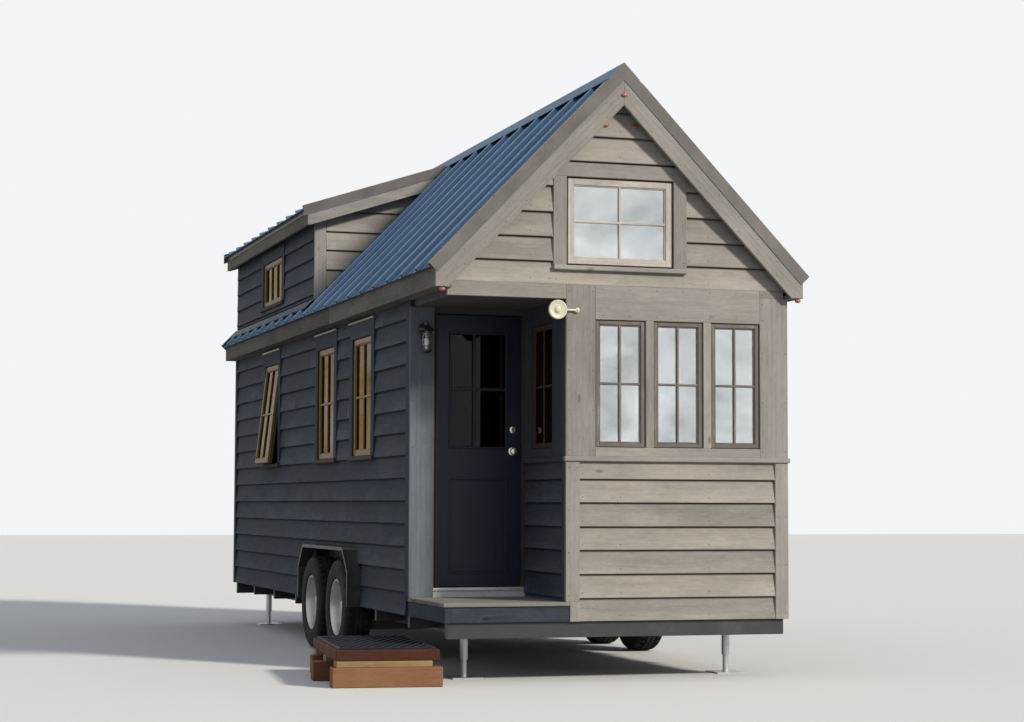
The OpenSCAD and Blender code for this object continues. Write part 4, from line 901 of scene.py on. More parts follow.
joint_rows = ((4.62,), (2.05, 6.10), (4.02,), (1.62, 5.02), (2.72, 6.62))
corner_w = 0.093
rear_corner_w = 0.090
rear_post = rear_corner_w - trim_t
left_end = -(rear_y - rear_post)
left_bm = new_piece()
left_holes = [casing_hole(-y, side_foot, *side_size, head_board) for y in left_places]
clad(left_bm, on_left, left_end, -(wall_end_y + corner_w), long_lines, fascia_foot,
     left_holes + arch_holes(-arch_mid), arch_slants(-arch_mid),
     [tuple(-y for y in row) for row in joint_rows])
finish_piece("left_lap_boards", left_bm, shaded_stain, ["left_siding"])

band_z = 1.3903
band_h = 0.032
right_bm = new_piece()
right_holes = [casing_hole(y, side_foot, *side_size, head_board) for y in right_places]
right_holes += [(-1.0, 0.200, band_z, 9.0), (-1.0, 0.260, band_z, band_z + band_h)]
clad(right_bm, on_right, 0.087, rear_y - rear_post, long_lines, fascia_foot,
     right_holes + arch_holes(arch_mid), arch_slants(arch_mid), joint_rows)
finish_piece("right_lap_boards", right_bm, shaded_stain, ["right_siding"])

# %% [markdown]
# The front. The gable's courses follow the photograph, where they are a little taller than on the
# walls, and are sawn off under both slopes. Below the band the bay has seven courses, and its side
# towards the porch goes on with their lines.

# %% Siding of the front
gable_lines = [2.5173, 2.665, 2.821, 2.982, 3.150, 3.318, 3.482, 3.645]
under_slope = [roof_cut(side, deck_foot_lift) for side in (-1, 1)]
front_bm = new_piece()
gable_hole = casing_hole(0.0, gable_foot, *gable_size)
clad(front_bm, on_front, -siding_x, siding_x, gable_lines, sky, [gable_hole], saw=under_slope)
outer = frame_x + trim_t
bay_left = bay_frame_x - trim_t
bay_left_in = bay_left + corner_w
bay_lines = [0.523, 0.675, 0.827, 0.976, 1.129, 1.278]
clad(front_bm, on_front, bay_left_in, outer - corner_w, [foot_z + 0.001, *bay_lines], band_z)
finish_piece("front_lap_boards", front_bm, lit_stain, ["front_siding"])
bay_side_bm = new_piece()
clad(bay_side_bm, on_bay_side, -wall_end_y, -0.087, [0.5005, *bay_lines], band_z)
finish_piece("bay_side_lap_boards", bay_side_bm, shaded_stain)

# %% [markdown]
# The rear wall has corner boards up to the eaves. Above them the siding runs the full width and fills
# the wide, flat gable under the dormer roofs.

# %% Siding of the rear
rear_bm = new_piece()
rear_side = outer - rear_corner_w
rear_holes = [casing_hole(0.0, side_foot, *side_size), gable_hole]
clad(rear_bm, on_rear, -rear_side, rear_side, long_lines, fascia_foot, rear_holes)
upper_lines = [fascia_foot + 0.001, *(2.506 + i * course for i in range(9))]
under_dormers = [dormer_cut(side, dormer_deck_lift) for side in (-1, 1)]
clad(rear_bm, on_rear, -siding_x, siding_x, upper_lines, sky, rear_holes, saw=under_dormers)
finish_piece("rear_lap_boards", rear_bm, lit_stain, ["rear_siding"])

# %% [markdown]
# The dormers: courses on their long sides, and a triangle of courses on each cheek, which faces the
# front and catches the sun. The cheek's corner board belongs to the trim further on.

# %% Siding of the dormers
dormer_y = 3.915
cheek_board = 0.094
dormer_lines = [slope_z(siding_x, 0.029), 2.790, 2.938, 3.085, 3.232, 3.379]
side_head = dormer_z(siding_x, dormer_deck_lift)
dormer_bm = new_piece()
for wall, place, left, right in ((on_left, -dormer_place, -rear_y, -(dormer_y + 0.02)),
                                 (on_right, dormer_place, dormer_y + 0.02, rear_y)):
    hole = casing_hole(place, dormer_foot, dormer_wide, dormer_high)
    clad(dormer_bm, wall, left, right, dormer_lines, side_head, [hole])
finish_piece("dormer_lap_boards", dormer_bm, shaded_stain, ["dormer_siding"])

cheek_lines = [2.690, 2.842, 2.992, 3.151, 3.301, 3.466, 3.62]
cheek_bm = new_piece()
for side in (-1, 1):
    inner = sorted((side * 0.30, side * (siding_x - cheek_board)))
    between = [roof_cut(side, 0.001, -1), dormer_cut(side, dormer_deck_lift)]
    clad(cheek_bm, facing(0, dormer_y, 0), *inner, cheek_lines, sky, saw=between)
finish_piece("cheek_lap_boards", cheek_bm, lit_stain)

# %% [markdown]
# Trim. Each board is its own eased box, with butt joints where a carpenter would make them. The trim is made
# in groups by where it faces: boards towards the sun get the pale stain and those of the shaded long walls
# the dark blue one, so sun and shade are painted into their colour.

# %% Corner boards and porch trim
front_trim_bm = new_piece()
side_trim_bm = new_piece()
porch_trim_bm = new_piece()
face = front_y - trim_t
deck_top = 0.500
beam_foot = 2.4253
frieze = 2.5173
post_y = 0.855
# Lower corners of the bay
board(front_trim_bm, (outer - corner_w, face, foot_z), (outer, front_y, band_z), "z")
board(side_trim_bm, (frame_x, front_y, foot_z), (outer, face + corner_w, band_z), "z")
board(front_trim_bm, (bay_left, face, deck_top), (bay_left_in, front_y, band_z), "z")
board(side_trim_bm, (bay_left, front_y, deck_top), (bay_frame_x, face + corner_w, band_z), "z")
board(front_trim_bm, (bay_frame_x, face, foot_z), (bay_left_in, front_y, deck_top), "z")
# Rear corners
rear_out = rear_y + trim_t
for side in (-1, 1):
    board(front_trim_bm, (rear_side, rear_y, foot_z), (outer, rear_out, fascia_foot), "z", side=side)
    board(side_trim_bm, (frame_x, rear_out - rear_corner_w, foot_z), (outer, rear_y, fascia_foot), "z",
          side=side)
# End of the left wall beside the porch: a wide board to the front and a narrower one round the corner
board(porch_trim_bm, (-outer, post_y, deck_top), (-outer + 0.167, wall_end_y, beam_foot), "z")
board(side_trim_bm, (-outer, wall_end_y, deck_top), (-frame_x, post_y + 0.115, fascia_foot), "z")
board(side_trim_bm, (-outer, post_y, beam_foot), (-frame_x, wall_end_y, fascia_foot), "z")
# Cheek corners of the dormers
for side in (-1, 1):
    part = side_box(side, (half_width - cheek_board, dormer_y - 0.024, 2.60), (half_width, dormer_y, 3.60))
    cuts = [roof_cut(side, 0.001, -1), dormer_cut(side, dormer_deck_lift)]
    sawn(front_trim_bm, part, "z", cuts, 0.0015)
    part = side_box(side, (frame_x, dormer_y, 2.60), (half_width, dormer_y + 0.02, 3.60))
    cuts = [((0, 0, slope_z(frame_x, 0.029)), (0, 0, -1)),
            ((0, 0, dormer_z(half_width, dormer_deck_lift)), (0, 0, 1))]
    sawn(side_trim_bm, part, "z", cuts, 0.0)

# %% [markdown]
# The bay has no lap boards above its band: wide flat boards frame its windows. A corner board at
# each end runs from the band to the frieze, with a header and an apron between them, and a post
# between the panes. The seams between these boards show in the photograph.

# %% Bay boards and bands
panes = [bay_mid + i * (bay_win + bay_post) for i in (-1, 0, 1)]
pane_left = [mid - bay_win / 2 for mid in panes]
pane_right = [mid + bay_win / 2 for mid in panes]
above_band = band_z + band_h
bay_head = bay_foot + bay_high
board(front_trim_bm, (bay_left, face, above_band), (pane_left[0], front_y, frieze), "z")
board(front_trim_bm, (pane_right[2], face, above_band), (outer, front_y, fascia_foot), "z")
board(front_trim_bm, (pane_left[0], face, bay_head), (pane_right[2], front_y, frieze), "x")
board(front_trim_bm, (pane_left[0], face, above_band), (pane_right[2], front_y, bay_foot), "x")
for i in (0, 1):
    board(front_trim_bm, (pane_right[i], face, bay_foot), (pane_left[i + 1], front_y, bay_head), "z")
board(front_trim_bm, (pane_right[2], face, fascia_foot), (frame_x, front_y, frieze), "x")
# Its side towards the porch
near, far = 0.280, 0.720
for y0, y1, low, high, along in ((front_y, near, above_band, beam_foot, "z"),
                                 (far, wall_end_y, above_band, beam_foot, "z"),
                                 (near, far, bay_head, beam_foot, "y"),
                                 (near, far, above_band, bay_foot, "y")):
    board(side_trim_bm, (bay_left, y0, low), (bay_frame_x, y1, high), along)
# Its side on the right wall
board(side_trim_bm, (frame_x, front_y, above_band), (outer, 0.200, fascia_foot), "z")
# The band round the bay, and the board across the porch beam
band_t = 0.040
band_left = bay_frame_x - band_t
band_right = frame_x + band_t
board(front_trim_bm, (band_left, front_y - band_t, band_z), (band_right, front_y, above_band), "x", 0.004)
board(side_trim_bm, (band_left, front_y, band_z), (bay_frame_x, wall_end_y, above_band), "y", 0.004)
board(side_trim_bm, (frame_x, front_y, band_z), (band_right, 0.260, above_band), "y", 0.004)
board(front_trim_bm, (-frame_x, face, beam_foot), (bay_left, front_y, frieze), "x")
board(front_trim_bm, (-siding_x, face, beam_foot), (-frame_x, front_y, fascia_foot), "x")

# %% [markdown]
# Casings: two stiles, a head over them and a sill that stands proud. On the long walls the head is a little
# taller, up to a thin metal strip that sheds water under the eave, and the sills are a lighter, warmer brown
# than the casings.

# %% Window casings
strip_bm = bmesh.new()
sill_bm = new_piece()
for group, wall, x, foot, wide, high, across, up in windows:
    if group == "bay":
        continue
    shaded = group in ("left", "right", "dormer")
    target = side_trim_bm if shaded else front_trim_bm
    space = wall @ Matrix.Translation((x, 0, foot))
    head = head_board if group in ("left", "right") else casing_w
    edge = wide / 2 + casing_w
    for side in (-1, 1):
        board(target, (wide / 2, -trim_t, 0), (edge, 0, high), "z", place=space, side=side)
    cuts = [((0, 0, point[2] - foot), normal) for point, normal in under_slope if group == "gable"]
    top = make_box((-edge, -trim_t, high), (edge, 0, high + head))
    sawn(target, top, "x", cuts, 0.002, space)
    sill = sill_bm if shaded else front_trim_bm
    board(sill, (-edge, -trim_t - 0.018, -sill_h), (edge, 0, 0), "x", 0.004, space)
    if head == head_board:
        low = (-edge - 0.004, -trim_t - 0.012, high + head)
        part = make_box(low, (edge + 0.004, 0, high + head + 0.014))
        sawn(strip_bm, part, "x", (), 0.003, space)
finish_piece("head_strips", strip_bm, head_bronze)
finish_piece("sill_planks", sill_bm, sill_brown)

# %% [markdown]
# Eave boards are longer than any plank, so they have butt joints, two of which show on the left.
# Behind each stands the soffit, which closes the eave from below.

# %% Eaves and rakes
eave_bm = new_piece()
roof_front = -0.075
roof_rear = 7.415
board_t = 0.025
inner_front = roof_front + 0.028
inner_rear = roof_rear - 0.028
eave_over = 0.135
fascia_x = half_width + eave_over - 0.045
for side in (-1, 1):
    ends = [inner_front, 2.94, 5.30, inner_rear]
    for a, b in zip(ends, ends[1:]):
        high = (fascia_x, b - 0.0008, slope_z(fascia_x - board_t))
        part = side_box(side, (fascia_x - board_t, a + 0.0008, fascia_foot), high)
        sawn(eave_bm, part, "y", [roof_cut(side, under_sheet)])
    high = (fascia_x - board_t, inner_rear, fascia_foot + 0.018)
    board(eave_bm, (frame_x, inner_front, fascia_foot), high, "y", 0.0, side=side)
finish_piece("eave_boards", eave_bm, eave_stain, ["eave_fascias"])

rake_bm = new_piece()
rake_face = roof_front + 0.003
rear_edge = roof_rear - 0.003
flash_lift = 0.028
face_low = flash_lift - 0.080
rake_w = 0.113
for side in (-1, 1):
    # One board down each slope: sawn plumb at the ridge and at the fascia, level at its foot
    part = make_box((-1.0, rake_face, -0.45), (3.0, rake_face + board_t, 0.0))
    lean = Matrix.Rotation(roof_pitch, 4, "Y")
    if side < 0:
        lean = Matrix.Rotation(math.pi, 4, "Z") @ lean
        bmesh.ops.translate(part, vec=(0, -2 * rake_face - board_t, 0), verts=part.verts)
    bmesh.ops.transform(part, matrix=Matrix.Translation((0, 0, pan_apex)) @ lean, verts=part.verts)
    cuts = [roof_cut(side, under_sheet), roof_cut(side, face_low - rake_w, -1),
            ((0, 0, 0), (-side, 0, 0)), ((side * fascia_x, 0, 0), (side, 0, 0)),
            ((0, 0, fascia_foot), (0, 0, -1))]
    sawn(rake_bm, part, "rake", cuts, level=lean.inverted())
    # Short boards close the ends of the eaves at the rear
    part = side_box(side, (frame_x, rear_edge - board_t, fascia_foot), (fascia_x, rear_edge, 2.9))
    sawn(rake_bm, part, "x", [roof_cut(side, under_sheet)])
finish_piece("rake_planks", rake_bm, lit_trim, ["rake_boards"])

# %% [markdown]
# The dormer roofs have the same trim: a level board along their eave, and one up each end.

# %% Dormer roof boards
dormer_trim_bm = new_piece()
dormer_front_bm = new_piece()
dormer_out = dormer_edge - 0.039
dormer_low = face_low - 0.085
front_edge = dormer_y - 0.150
level = dormer_z(dormer_out - board_t, dormer_low)
for side in (-1, 1):
    low = (dormer_out - board_t, front_edge + board_t, level)
    part = side_box(side, low, (dormer_out, rear_edge - board_t, 3.7))
    sawn(dormer_trim_bm, part, "y", [dormer_cut(side, under_sheet)])
    for y0 in (front_edge, rear_edge - board_t):
        cuts = [dormer_cut(side, under_sheet), dormer_cut(side, dormer_low, -1),
                ((0, 0, level), (0, 0, -1))]
        if y0 == front_edge:
            cuts.append(roof_cut(side, 0.002, -1))
        else:
            # The rear board meets its twin under the ridge, where a small piece fills the peak
            peak = side_box(side, (0.0, y0, 3.2), (dormer_head_x, y0 + board_t, sky))
            peak_cuts = [roof_cut(side, under_sheet), dormer_cut(side, under_sheet, -1)]
            sawn(dormer_front_bm, peak, "x", peak_cuts, 0.0)
        part = side_box(side, (0.0, y0, 3.2), (dormer_out, y0 + board_t, sky))
        sawn(dormer_front_bm, part, "x", cuts)
finish_piece("dormer_eave_boards", dormer_trim_bm, eave_stain, ["dormer_trim"])
finish_piece("dormer_rake_boards", dormer_front_bm, lit_trim)

# Nails in the trim: pairs up each upright board and along the bay's header, then the wide board by
# the door, the casings of the windows and the rake boards
for x0, x1, low, top in ((outer - corner_w, outer, foot_z, band_z),
                         (bay_left, bay_left_in, deck_top, band_z),
                         (bay_left, pane_left[0], above_band, frieze),
                         (pane_right[2], outer, above_band, fascia_foot)):
    rows = round((top - low) / 0.30)
    for i in range(rows + 1):
        z = low + 0.04 + (top - low - 0.08) * i / rows
        for x in (x0 + 0.018, x1 - 0.018):
            nail(on_front, x, trim_t, z)
for i in range(7):
    for z in (bay_head + 0.025, frieze - 0.025):
        nail(on_front, pane_left[0] + 0.05 + i * 0.185, trim_t, z)
for i in range(7):
    z = deck_top + 0.06 + i * 0.31
    for x in (-outer + 0.022, -outer + 0.145):
        nail(facing(0, wall_end_y, 0), x, 0.022, z)
for group, wall, x, foot, wide, high, across, up in windows:
    if group != "bay":
        space = wall @ Matrix.Translation((x, 0, foot))
        for z in (0.04, high * 0.5, high - 0.04, high + 0.045):
            for side in (-1, 1):
                nail(space, side * (wide / 2 + 0.066), trim_t, z)
for side in (-1, 1):
    for i in range(9):
        at = 0.12 + i * 0.135
        for lift in (-0.075, -0.140):
            nail(facing(0, roof_front + 0.028, 0), side * at, 0.025, slope_z(at, lift))
finish_piece("nail_heads", nail_bm, nail_rust)
finish_piece("front_trim_planks", front_trim_bm, lit_trim, ["trim_bands", "bay_trim"])
finish_piece("side_trim_planks", side_trim_bm, shaded_trim, ["window_casings"])
finish_piece("porch_trim_planks", porch_trim_bm, sky_lit_post_stain, ["corner_boards"])

# %% [markdown]
# Sheet metal that a roofer bends on site. The rake flashing ends in a rolled hem along its foot, seen as one
# thin bright line; its paler blue-grey is a painted highlight on the same metal. Drip strips cover the heads
# of the eave boards. Where the dormer's wall stands on the roof, an apron lies over the ribs and ends in a
# small lip, and dark foam closes the pans behind it. Each is a straight strip with one long bend at most, so
# a box for each of its faces is true to it.

# %% Bent metal
hem_bm = bmesh.new()
drip_bm = bmesh.new()
apron_bm = bmesh.new()
foam_bm = bmesh.new()
rib_h = 0.025
slope_length = (half_width + eave_over - rib_h * math.sin(roof_pitch)) / math.cos(roof_pitch)
dormer_length = (dormer_edge - rib_h * math.sin(dormer_pitch)) / math.cos(dormer_pitch)
wall_u = 1.145 / math.cos(roof_pitch)
below_dormer = 1.166 / math.cos(roof_pitch)
apron_top = 0.0274


def on_slope(side):
    """A place whose X runs down one side of the main roof and whose Z stands square to it."""
    return Matrix.Translation((0, 0, pan_apex)) @ Matrix.Rotation(side * roof_pitch, 4, "Y")


def on_dormer(side):
    """The same for a dormer roof."""
    return Matrix.Translation((0, 0, dormer_apex)) @ Matrix.Rotation(side * dormer_pitch, 4, "Y")


def bent_strip(side, y_face, out, start, end, place, waste):
    """A rolled hem along the foot of a flashing, sawn off where another roof or the ridge ends it."""
    low_y, high_y = sorted((y_face, y_face + out * 0.0014))
    part = side_box(side, (start, low_y, face_low), (end, high_y, face_low + 0.007))
    ease_edges(part, 0.0005)
    bmesh.ops.transform(part, matrix=place, verts=part.verts)
    cut_away(part, *waste)
    join(hem_bm, part, "x")


for side in (-1, 1):
    plumb = ((0, 0, 0), (-side, 0, 0))
    for y_face, out, start in ((roof_front, -1, 0.002), (roof_rear, 1, below_dormer)):
        bent_strip(side, y_face, out, start, slope_length - 0.003, on_slope(side), plumb)
    for y_face, out, start in ((front_edge - 0.003, -1, 0.36), (roof_rear, 1, 0.12)):
        above = roof_cut(side, 0.003, -1)
        bent_strip(side, y_face, out, start, dormer_length - 0.006, on_dormer(side), above)
    # Drip strip over the head of the dormer's eave board, with a small kick at its foot
    top = dormer_z(dormer_out, -0.003)
    kick = top - 0.040
    for out, z0, z1 in ((0.0015, kick, top), (0.006, kick - 0.0015, kick)):
        high = (dormer_out + out, rear_edge - 0.001, z1)
        join(drip_bm, side_box(side, (dormer_out, front_edge + 0.001, z0), high), "y")
    top = slope_z(fascia_x, -0.004)
    strip = side_box(side, (fascia_x, inner_front, top - 0.010), (fascia_x + 0.0015, inner_rear, top))
    join(drip_bm, strip, "y")
    # Apron over the ribs at the foot of the dormer's wall, and foam in the pans behind it
    for u0, u1, w0, w1 in ((0.0, 0.100, 0.0256, apron_top), (0.097, 0.100, 0.0160, 0.0256)):
        low = (wall_u + u0, dormer_y - 0.020, w0)
        join(apron_bm, side_box(side, low, (wall_u + u1, rear_y - 0.004, w1)), "y", on_slope(side))
    low = (wall_u + 0.006, dormer_y + 0.004, -0.001)
    join(foam_bm, side_box(side, low, (wall_u + 0.016, rear_y - 0.006, rib_h)), "y", on_slope(side))
finish_piece("flashing_hems", hem_bm, hem_highlight_grey)
finish_piece("drip_strips", drip_bm, drip_brown)
finish_piece("dormer_aprons", apron_bm, galvanised)
finish_piece("apron_closures", foam_bm, foam_and_shade_dark)

# %% [markdown]
# Sashes: four members round the glass, with a dark gasket line round each sash, partly rubber and partly
# painted shade in the gap, and a bead against the pane. The long walls have gold-brown sashes, a painted warm
# reflection, and the gable walls have grey-brown ones; the bay's side towards the porch has dark brown ones,
# painted shade of the porch. Those of the bay are slim and those of the gable wide. The bars stand on the
# glass, 16 mm wide. The third window of the left wall hangs open from its head by 6.5 degrees, and its bars
# swing with it.

# %% Sashes and bars
member_widths = {"bay": 0.031, "gable": 0.052, "rear": 0.038}
sash_tones = {"gable": 1.9, "bay": 0.3}
bead_w = 0.008
bar_half = 0.008
sash_front = -0.016
sash_t = 0.040
side_sash_bm = new_piece()
front_sash_bm = new_piece()
porch_sash_bm = new_piece()
gasket_bm = bmesh.new()
open_tilt = math.radians(6.5)
for group, wall, x, foot, wide, high, across, up in windows:
    space = wall @ Matrix.Translation((x, 0, foot))
    sash_bm = side_sash_bm if group in ("left", "right", "dormer") else front_sash_bm
    # The sashes on the bay's porch side get the dark jamb brown as painted shade of the porch
    if group == "bay" and wall != on_front:
        sash_bm = porch_sash_bm
    if group == "left" and x == -left_places[2]:
        pivot = Matrix.Translation((0, sash_front, high))
        space = space @ pivot @ Matrix.Rotation(-open_tilt, 4, "X") @ pivot.inverted()
    look = new_look()
    if group in sash_tones:
        look = (look[0], sash_tones[group])
    gap = 0.012 if group == "gable" else 0.004
    sash_w = member_widths.get(group, 0.042)
    half = wide / 2 - gap
    inside = half - sash_w + gap
    top = high - sash_w
    bead_y0, bead_y1 = sash_front + 0.006, sash_front + 0.015
    bar_y1 = sash_front + 0.0155
    # Each member has its grain, its easing and two corners: stiles, rails, beads and bars
    members = []
    for side in (-1, 1):
        a, b = sorted((side * half, side * inside))
        members.append(("z", 0.002, (a, sash_front, gap), (b, sash_front + sash_t, high - gap)))
        a, b = sorted((side * inside, side * (inside - bead_w)))
        members.append(("z", 0.002, (a, bead_y0, sash_w), (b, bead_y1, top)))
    for z0, z1 in ((gap, sash_w), (top, high - gap)):
        members.append(("x", 0.002, (-inside, sash_front, z0), (inside, sash_front + sash_t, z1)))
    for z0 in (sash_w, top - bead_w):
        members.append(("x", 0.002, (-inside, bead_y0, z0), (inside, bead_y1, z0 + bead_w)))
    for i in range(1, across):
        mid = -inside + 2 * inside * i / across
        low = (mid - bar_half, sash_front + 0.004, sash_w)
        members.append(("z", 0.003, low, (mid + bar_half, bar_y1, top)))
    for i in range(1, up):
        mid = sash_w + (high - 2 * sash_w) * i / up
        low = (-inside, sash_front + 0.005, mid - bar_half)
        members.append(("x", 0.003, low, (inside, bar_y1, mid + bar_half)))
    for along, ease, low, end in members:
        board(sash_bm, low, end, along, ease, space, look)
    # Gasket: a thin dark frame set back in the gap, partly rubber and partly painted shade of the gap
    for x0, x1, z0, z1 in ((-wide / 2, -half, 0, high), (half, wide / 2, 0, high),
                           (-half, half, 0, gap), (-half, half, high - gap, high)):
        join(gasket_bm, make_box((x0, 0.004, z0), (x1, 0.012, z1)), "x", space)
finish_piece("side_sash_members", side_sash_bm, gold_reflection_sash, ["window_sashes"])
finish_piece("front_sash_members", front_sash_bm, front_sash)
finish_piece("porch_sash_members", porch_sash_bm, jamb_brown)
finish_piece("sash_gaskets", gasket_bm, gasket_and_gap_shade)

# %% [markdown]
# Roof fittings: a screw on either side of every rib along the eave, and more up the slope, as the
# metal is held in real life. Each is a six-sided head with a washer, a few faces, repeated.

# %% Roof screws
screw_bm = bmesh.new()
head_r, head_h = 0.0055, 0.005
beside_rib = 0.040
above_eave = 0.045


def screw(place, down, along, lift=0.0):
    """A hexagonal head on a washer, at a distance down a slope and along it."""
    part = bmesh.new()
    for sides, low_r, top_r, depth, rise in ((10, 1.45 * head_r, 1.3 * head_r, 0.0016, 0.0008),
                                             (6, head_r, 0.86 * head_r, head_h, 0.0012 + head_h / 2)):
        bmesh.ops.create_cone(part, cap_ends=True, segments=sides, radius1=low_r, radius2=top_r,
                              depth=depth, matrix=Matrix.Translation((0, 0, rise)))
    join(screw_bm, part, "x", place @ Matrix.Translation((down, along, lift)))


for side in (-1, 1):
    main = on_slope(side)
    count = 0
    for i in range(-1, 19):
        y = rib_first + i * rib_pitch
        for spot in (y + beside_rib, y - beside_rib):
            if roof_front + 0.09 < spot < roof_rear - 0.09:
                screw(main, side * (slope_length - above_eave), spot)
                count += 1
        for down in (0.55, 1.05):
            if -0.05 < y < dormer_y - 0.06:
                screw(main, side * down, y + beside_rib)
    print("eave screws on side", side, count)
for side in (-1, 1):
    main = on_slope(side)
    for i in range(10):
        screw(main, side * (0.26 + i * 0.16), roof_front + 0.030, flash_lift)
        screw(main, side * 0.135, 0.12 + i * 0.76, flash_lift)
    for i in range(9, 27):
        y = rib_first + i * rib_pitch
        if dormer_y < y < rear_y:
            screw(main, side * (wall_u + 0.070), y, apron_top)
            for spot in (y + beside_rib, y - beside_rib):
                screw(on_dormer(side), side * (dormer_length - above_eave), spot)
finish_piece("roof_screws", screw_bm, screw_head)

# %% [markdown]
# Between two ribs the sheet has one low swage that stiffens the pan: 50 mm at its foot, 24 mm at its crown
# and 7 mm high. It is a box whose crown is drawn in. At the eave every rib is an open hollow in shade, so a
# thin dark plate of painted shade stands in each mouth.

# %% Swages and rib mouths
swage_bm = bmesh.new()
mouth_shade_bm = bmesh.new()


def trapezoid(side, start, end, y, w0, w1, foot, crown):
    """A bar down the slope, wide at its foot and narrow at its crown."""
    part = side_box(side, (start, y - foot / 2, w0), (end, y + foot / 2, w1))
    for vert in part.verts:
        if vert.co.z > (w0 + w1) / 2:
            vert.co.y = y + (vert.co.y - y) * crown / foot
    return part


swage = (-0.0005, 0.007, 0.050, 0.024)
mouth = (0.0015, 0.020, 0.037, 0.016)
end_rib = 0.026
below_apron = 1.19 / math.cos(roof_pitch)
ribs = [rib_first + i * rib_pitch for i in range(19)]
pans = [(roof_front + end_rib + rib_first) / 2, *(y + 0.5 * rib_pitch for y in ribs)]
for side in (-1, 1):
    for y in pans:
        if y < roof_rear - 0.06:
            start = 0.004 if y < dormer_y - 0.03 else below_apron
            join(swage_bm, trapezoid(side, start, slope_length - 0.001, y, *swage), "x", on_slope(side))
        if front_edge + 0.06 < y < roof_rear - 0.06:
            join(swage_bm, trapezoid(side, 0.12, dormer_length - 0.001, y, *swage), "x", on_dormer(side))
    # A dark plate of painted shade in the hollow of each rib mouth
    for y in (roof_front + end_rib, *ribs, roof_rear - end_rib):
        part = trapezoid(side, slope_length, slope_length + 0.0003, y, *mouth)
        join(mouth_shade_bm, part, "x", on_slope(side))
finish_piece("roof_swages", swage_bm, ridge_blue)
finish_piece("rib_mouth_shade", mouth_shade_bm, foam_and_shade_dark)

# %% [markdown]
# The porch deck is laid with boards across it, with gaps between them. Their ends on the open side
# were never cut to one line, so they step in and out by a few millimetres.

# %% Porch deck
deck_low, deck_high = house_box("porch_deck")
deck_bm = new_piece()
rows = 6
gap = 0.005
deck_w = (deck_high.y - deck_low.y - (rows - 1) * gap) / rows
for i in range(rows):
    y = deck_low.y + i * (deck_w + gap)
    ragged = chance.uniform(0.0, 0.012)
    board(deck_bm, (deck_low.x + ragged, y, deck_low.z), (deck_high.x, y + deck_w, deck_high.z), "x", 0.003)
finish_piece("deck_planks", deck_bm, deck_grey, ["porch_deck"])

joist_low, joist_high = house_box("porch_joists")
joist_bm = new_piece()
board(joist_bm, (-half_width, 0.0, joist_low.z), (-half_width + 0.038, wall_end_y, joist_high.z), "y")
board(joist_bm, (-half_width + 0.0383, 0.0, joist_low.z), (bay_frame_x, 0.038, joist_high.z), "x")
for i in (1, 2):
    x = -half_width + i * (bay_frame_x + half_width) / 3
    board(joist_bm, (x - 0.019, 0.0383, joist_low.z), (x + 0.019, wall_end_y, joist_high.z), "y")
finish_piece("joist_planks", joist_bm, shaded_stain, ["porch_joists"])

# %% [markdown]
# The door is a painted panel door with four panes over one sunk panel. The solid has the openings;
# the mouldings round them and the bars are added. The paint is a very dark navy, worn through to
# pale wood in a few spots.

# %% Door paint


def door_paint(name):
    """Satin navy paint with a faint brush grain and a few worn spots."""
    material, tree, shader = blank_material(name)
    where = object_space(tree)
    brushed = stretched(tree, where, (120, 120, 3), 4.0, 0.6)
    patch = noise(tree, where, 3.0, 4.0, 0.6)
    chips = stretched(tree, where, (14, 14, 4), 6.0, 0.75)
    body = colours(tree, weigh(tree, [(brushed, 0.5), (patch, 0.5)]),
                   [(0.25, (0.010, 0.014, 0.028)), (0.75, (0.020, 0.027, 0.050))])
    worn = reach(tree, chips, 0.70, 0.73, 0.0, 0.7)
    set_inputs(shader, {"Base Color": mixed(tree, worn, body, (0.17, 0.15, 0.14)),
                        "Roughness": weigh(tree, [(patch, 0.2), (worn, 0.3)], 0.28),
                        "Specular IOR Level": 0.3})
    bumped(tree, shader, weigh(tree, [(brushed, 0.5), (worn, -0.6)]), 0.0006, 0.6)
    return material


navy = door_paint("door_navy")
dress("door_leaf", navy, 0.002)

# %% Door mouldings and bars
leaf_low, leaf_high = house_box("door_leaf")
glass_low, glass_high = house_box("door_glass")
mould_bm = new_piece()


def moulding(foot, head, grow, y, out, width, depth):
    """A bead round the panes or the panel, on the side of the leaf that out points to."""
    y0, y1 = sorted((y, y + out * depth))
    x0, x1 = glass_low.x - grow, glass_high.x + grow
    z0, z1 = foot - grow, head + grow
    for along, a, b in (("z", (x0, z0), (x0 + width, z1)), ("z", (x1 - width, z0), (x1, z1)),
                        ("x", (x0 + width, z0), (x1 - width, z0 + width)),
                        ("x", (x0 + width, z1 - width), (x1 - width, z1))):
        board(mould_bm, (a[0], y0, a[1]), (b[0], y1, b[1]), along, 0.003)


panel_foot, panel_head = 0.660, 1.285
mid_x, mid_z = -0.700, 1.887
bar = 0.010
for y, out in ((leaf_low.y, -1), (leaf_high.y, 1)):
    moulding(glass_low.z, glass_high.z, 0.012, y, out, 0.016, 0.007)
    moulding(panel_foot, panel_head, 0.008, y, out, 0.014, 0.004)
for y0, y1 in ((leaf_low.y + 0.002, glass_low.y), (glass_high.y, leaf_high.y - 0.002)):
    board(mould_bm, (mid_x - bar, y0, glass_low.z), (mid_x + bar, y1, glass_high.z), "z", 0.003)
    high = (glass_high.x, y1 - 0.0005, mid_z + bar)
    board(mould_bm, (glass_low.x, y0 + 0.001, mid_z - bar), high, "x", 0.003)
finish_piece("door_mouldings", mould_bm, navy, body="door")

# %% [markdown]
# The frame is dark brown, with a stop that the leaf shuts against. Below the door the threshold is
# white, and an aluminium nose with flutes lies over its edge.

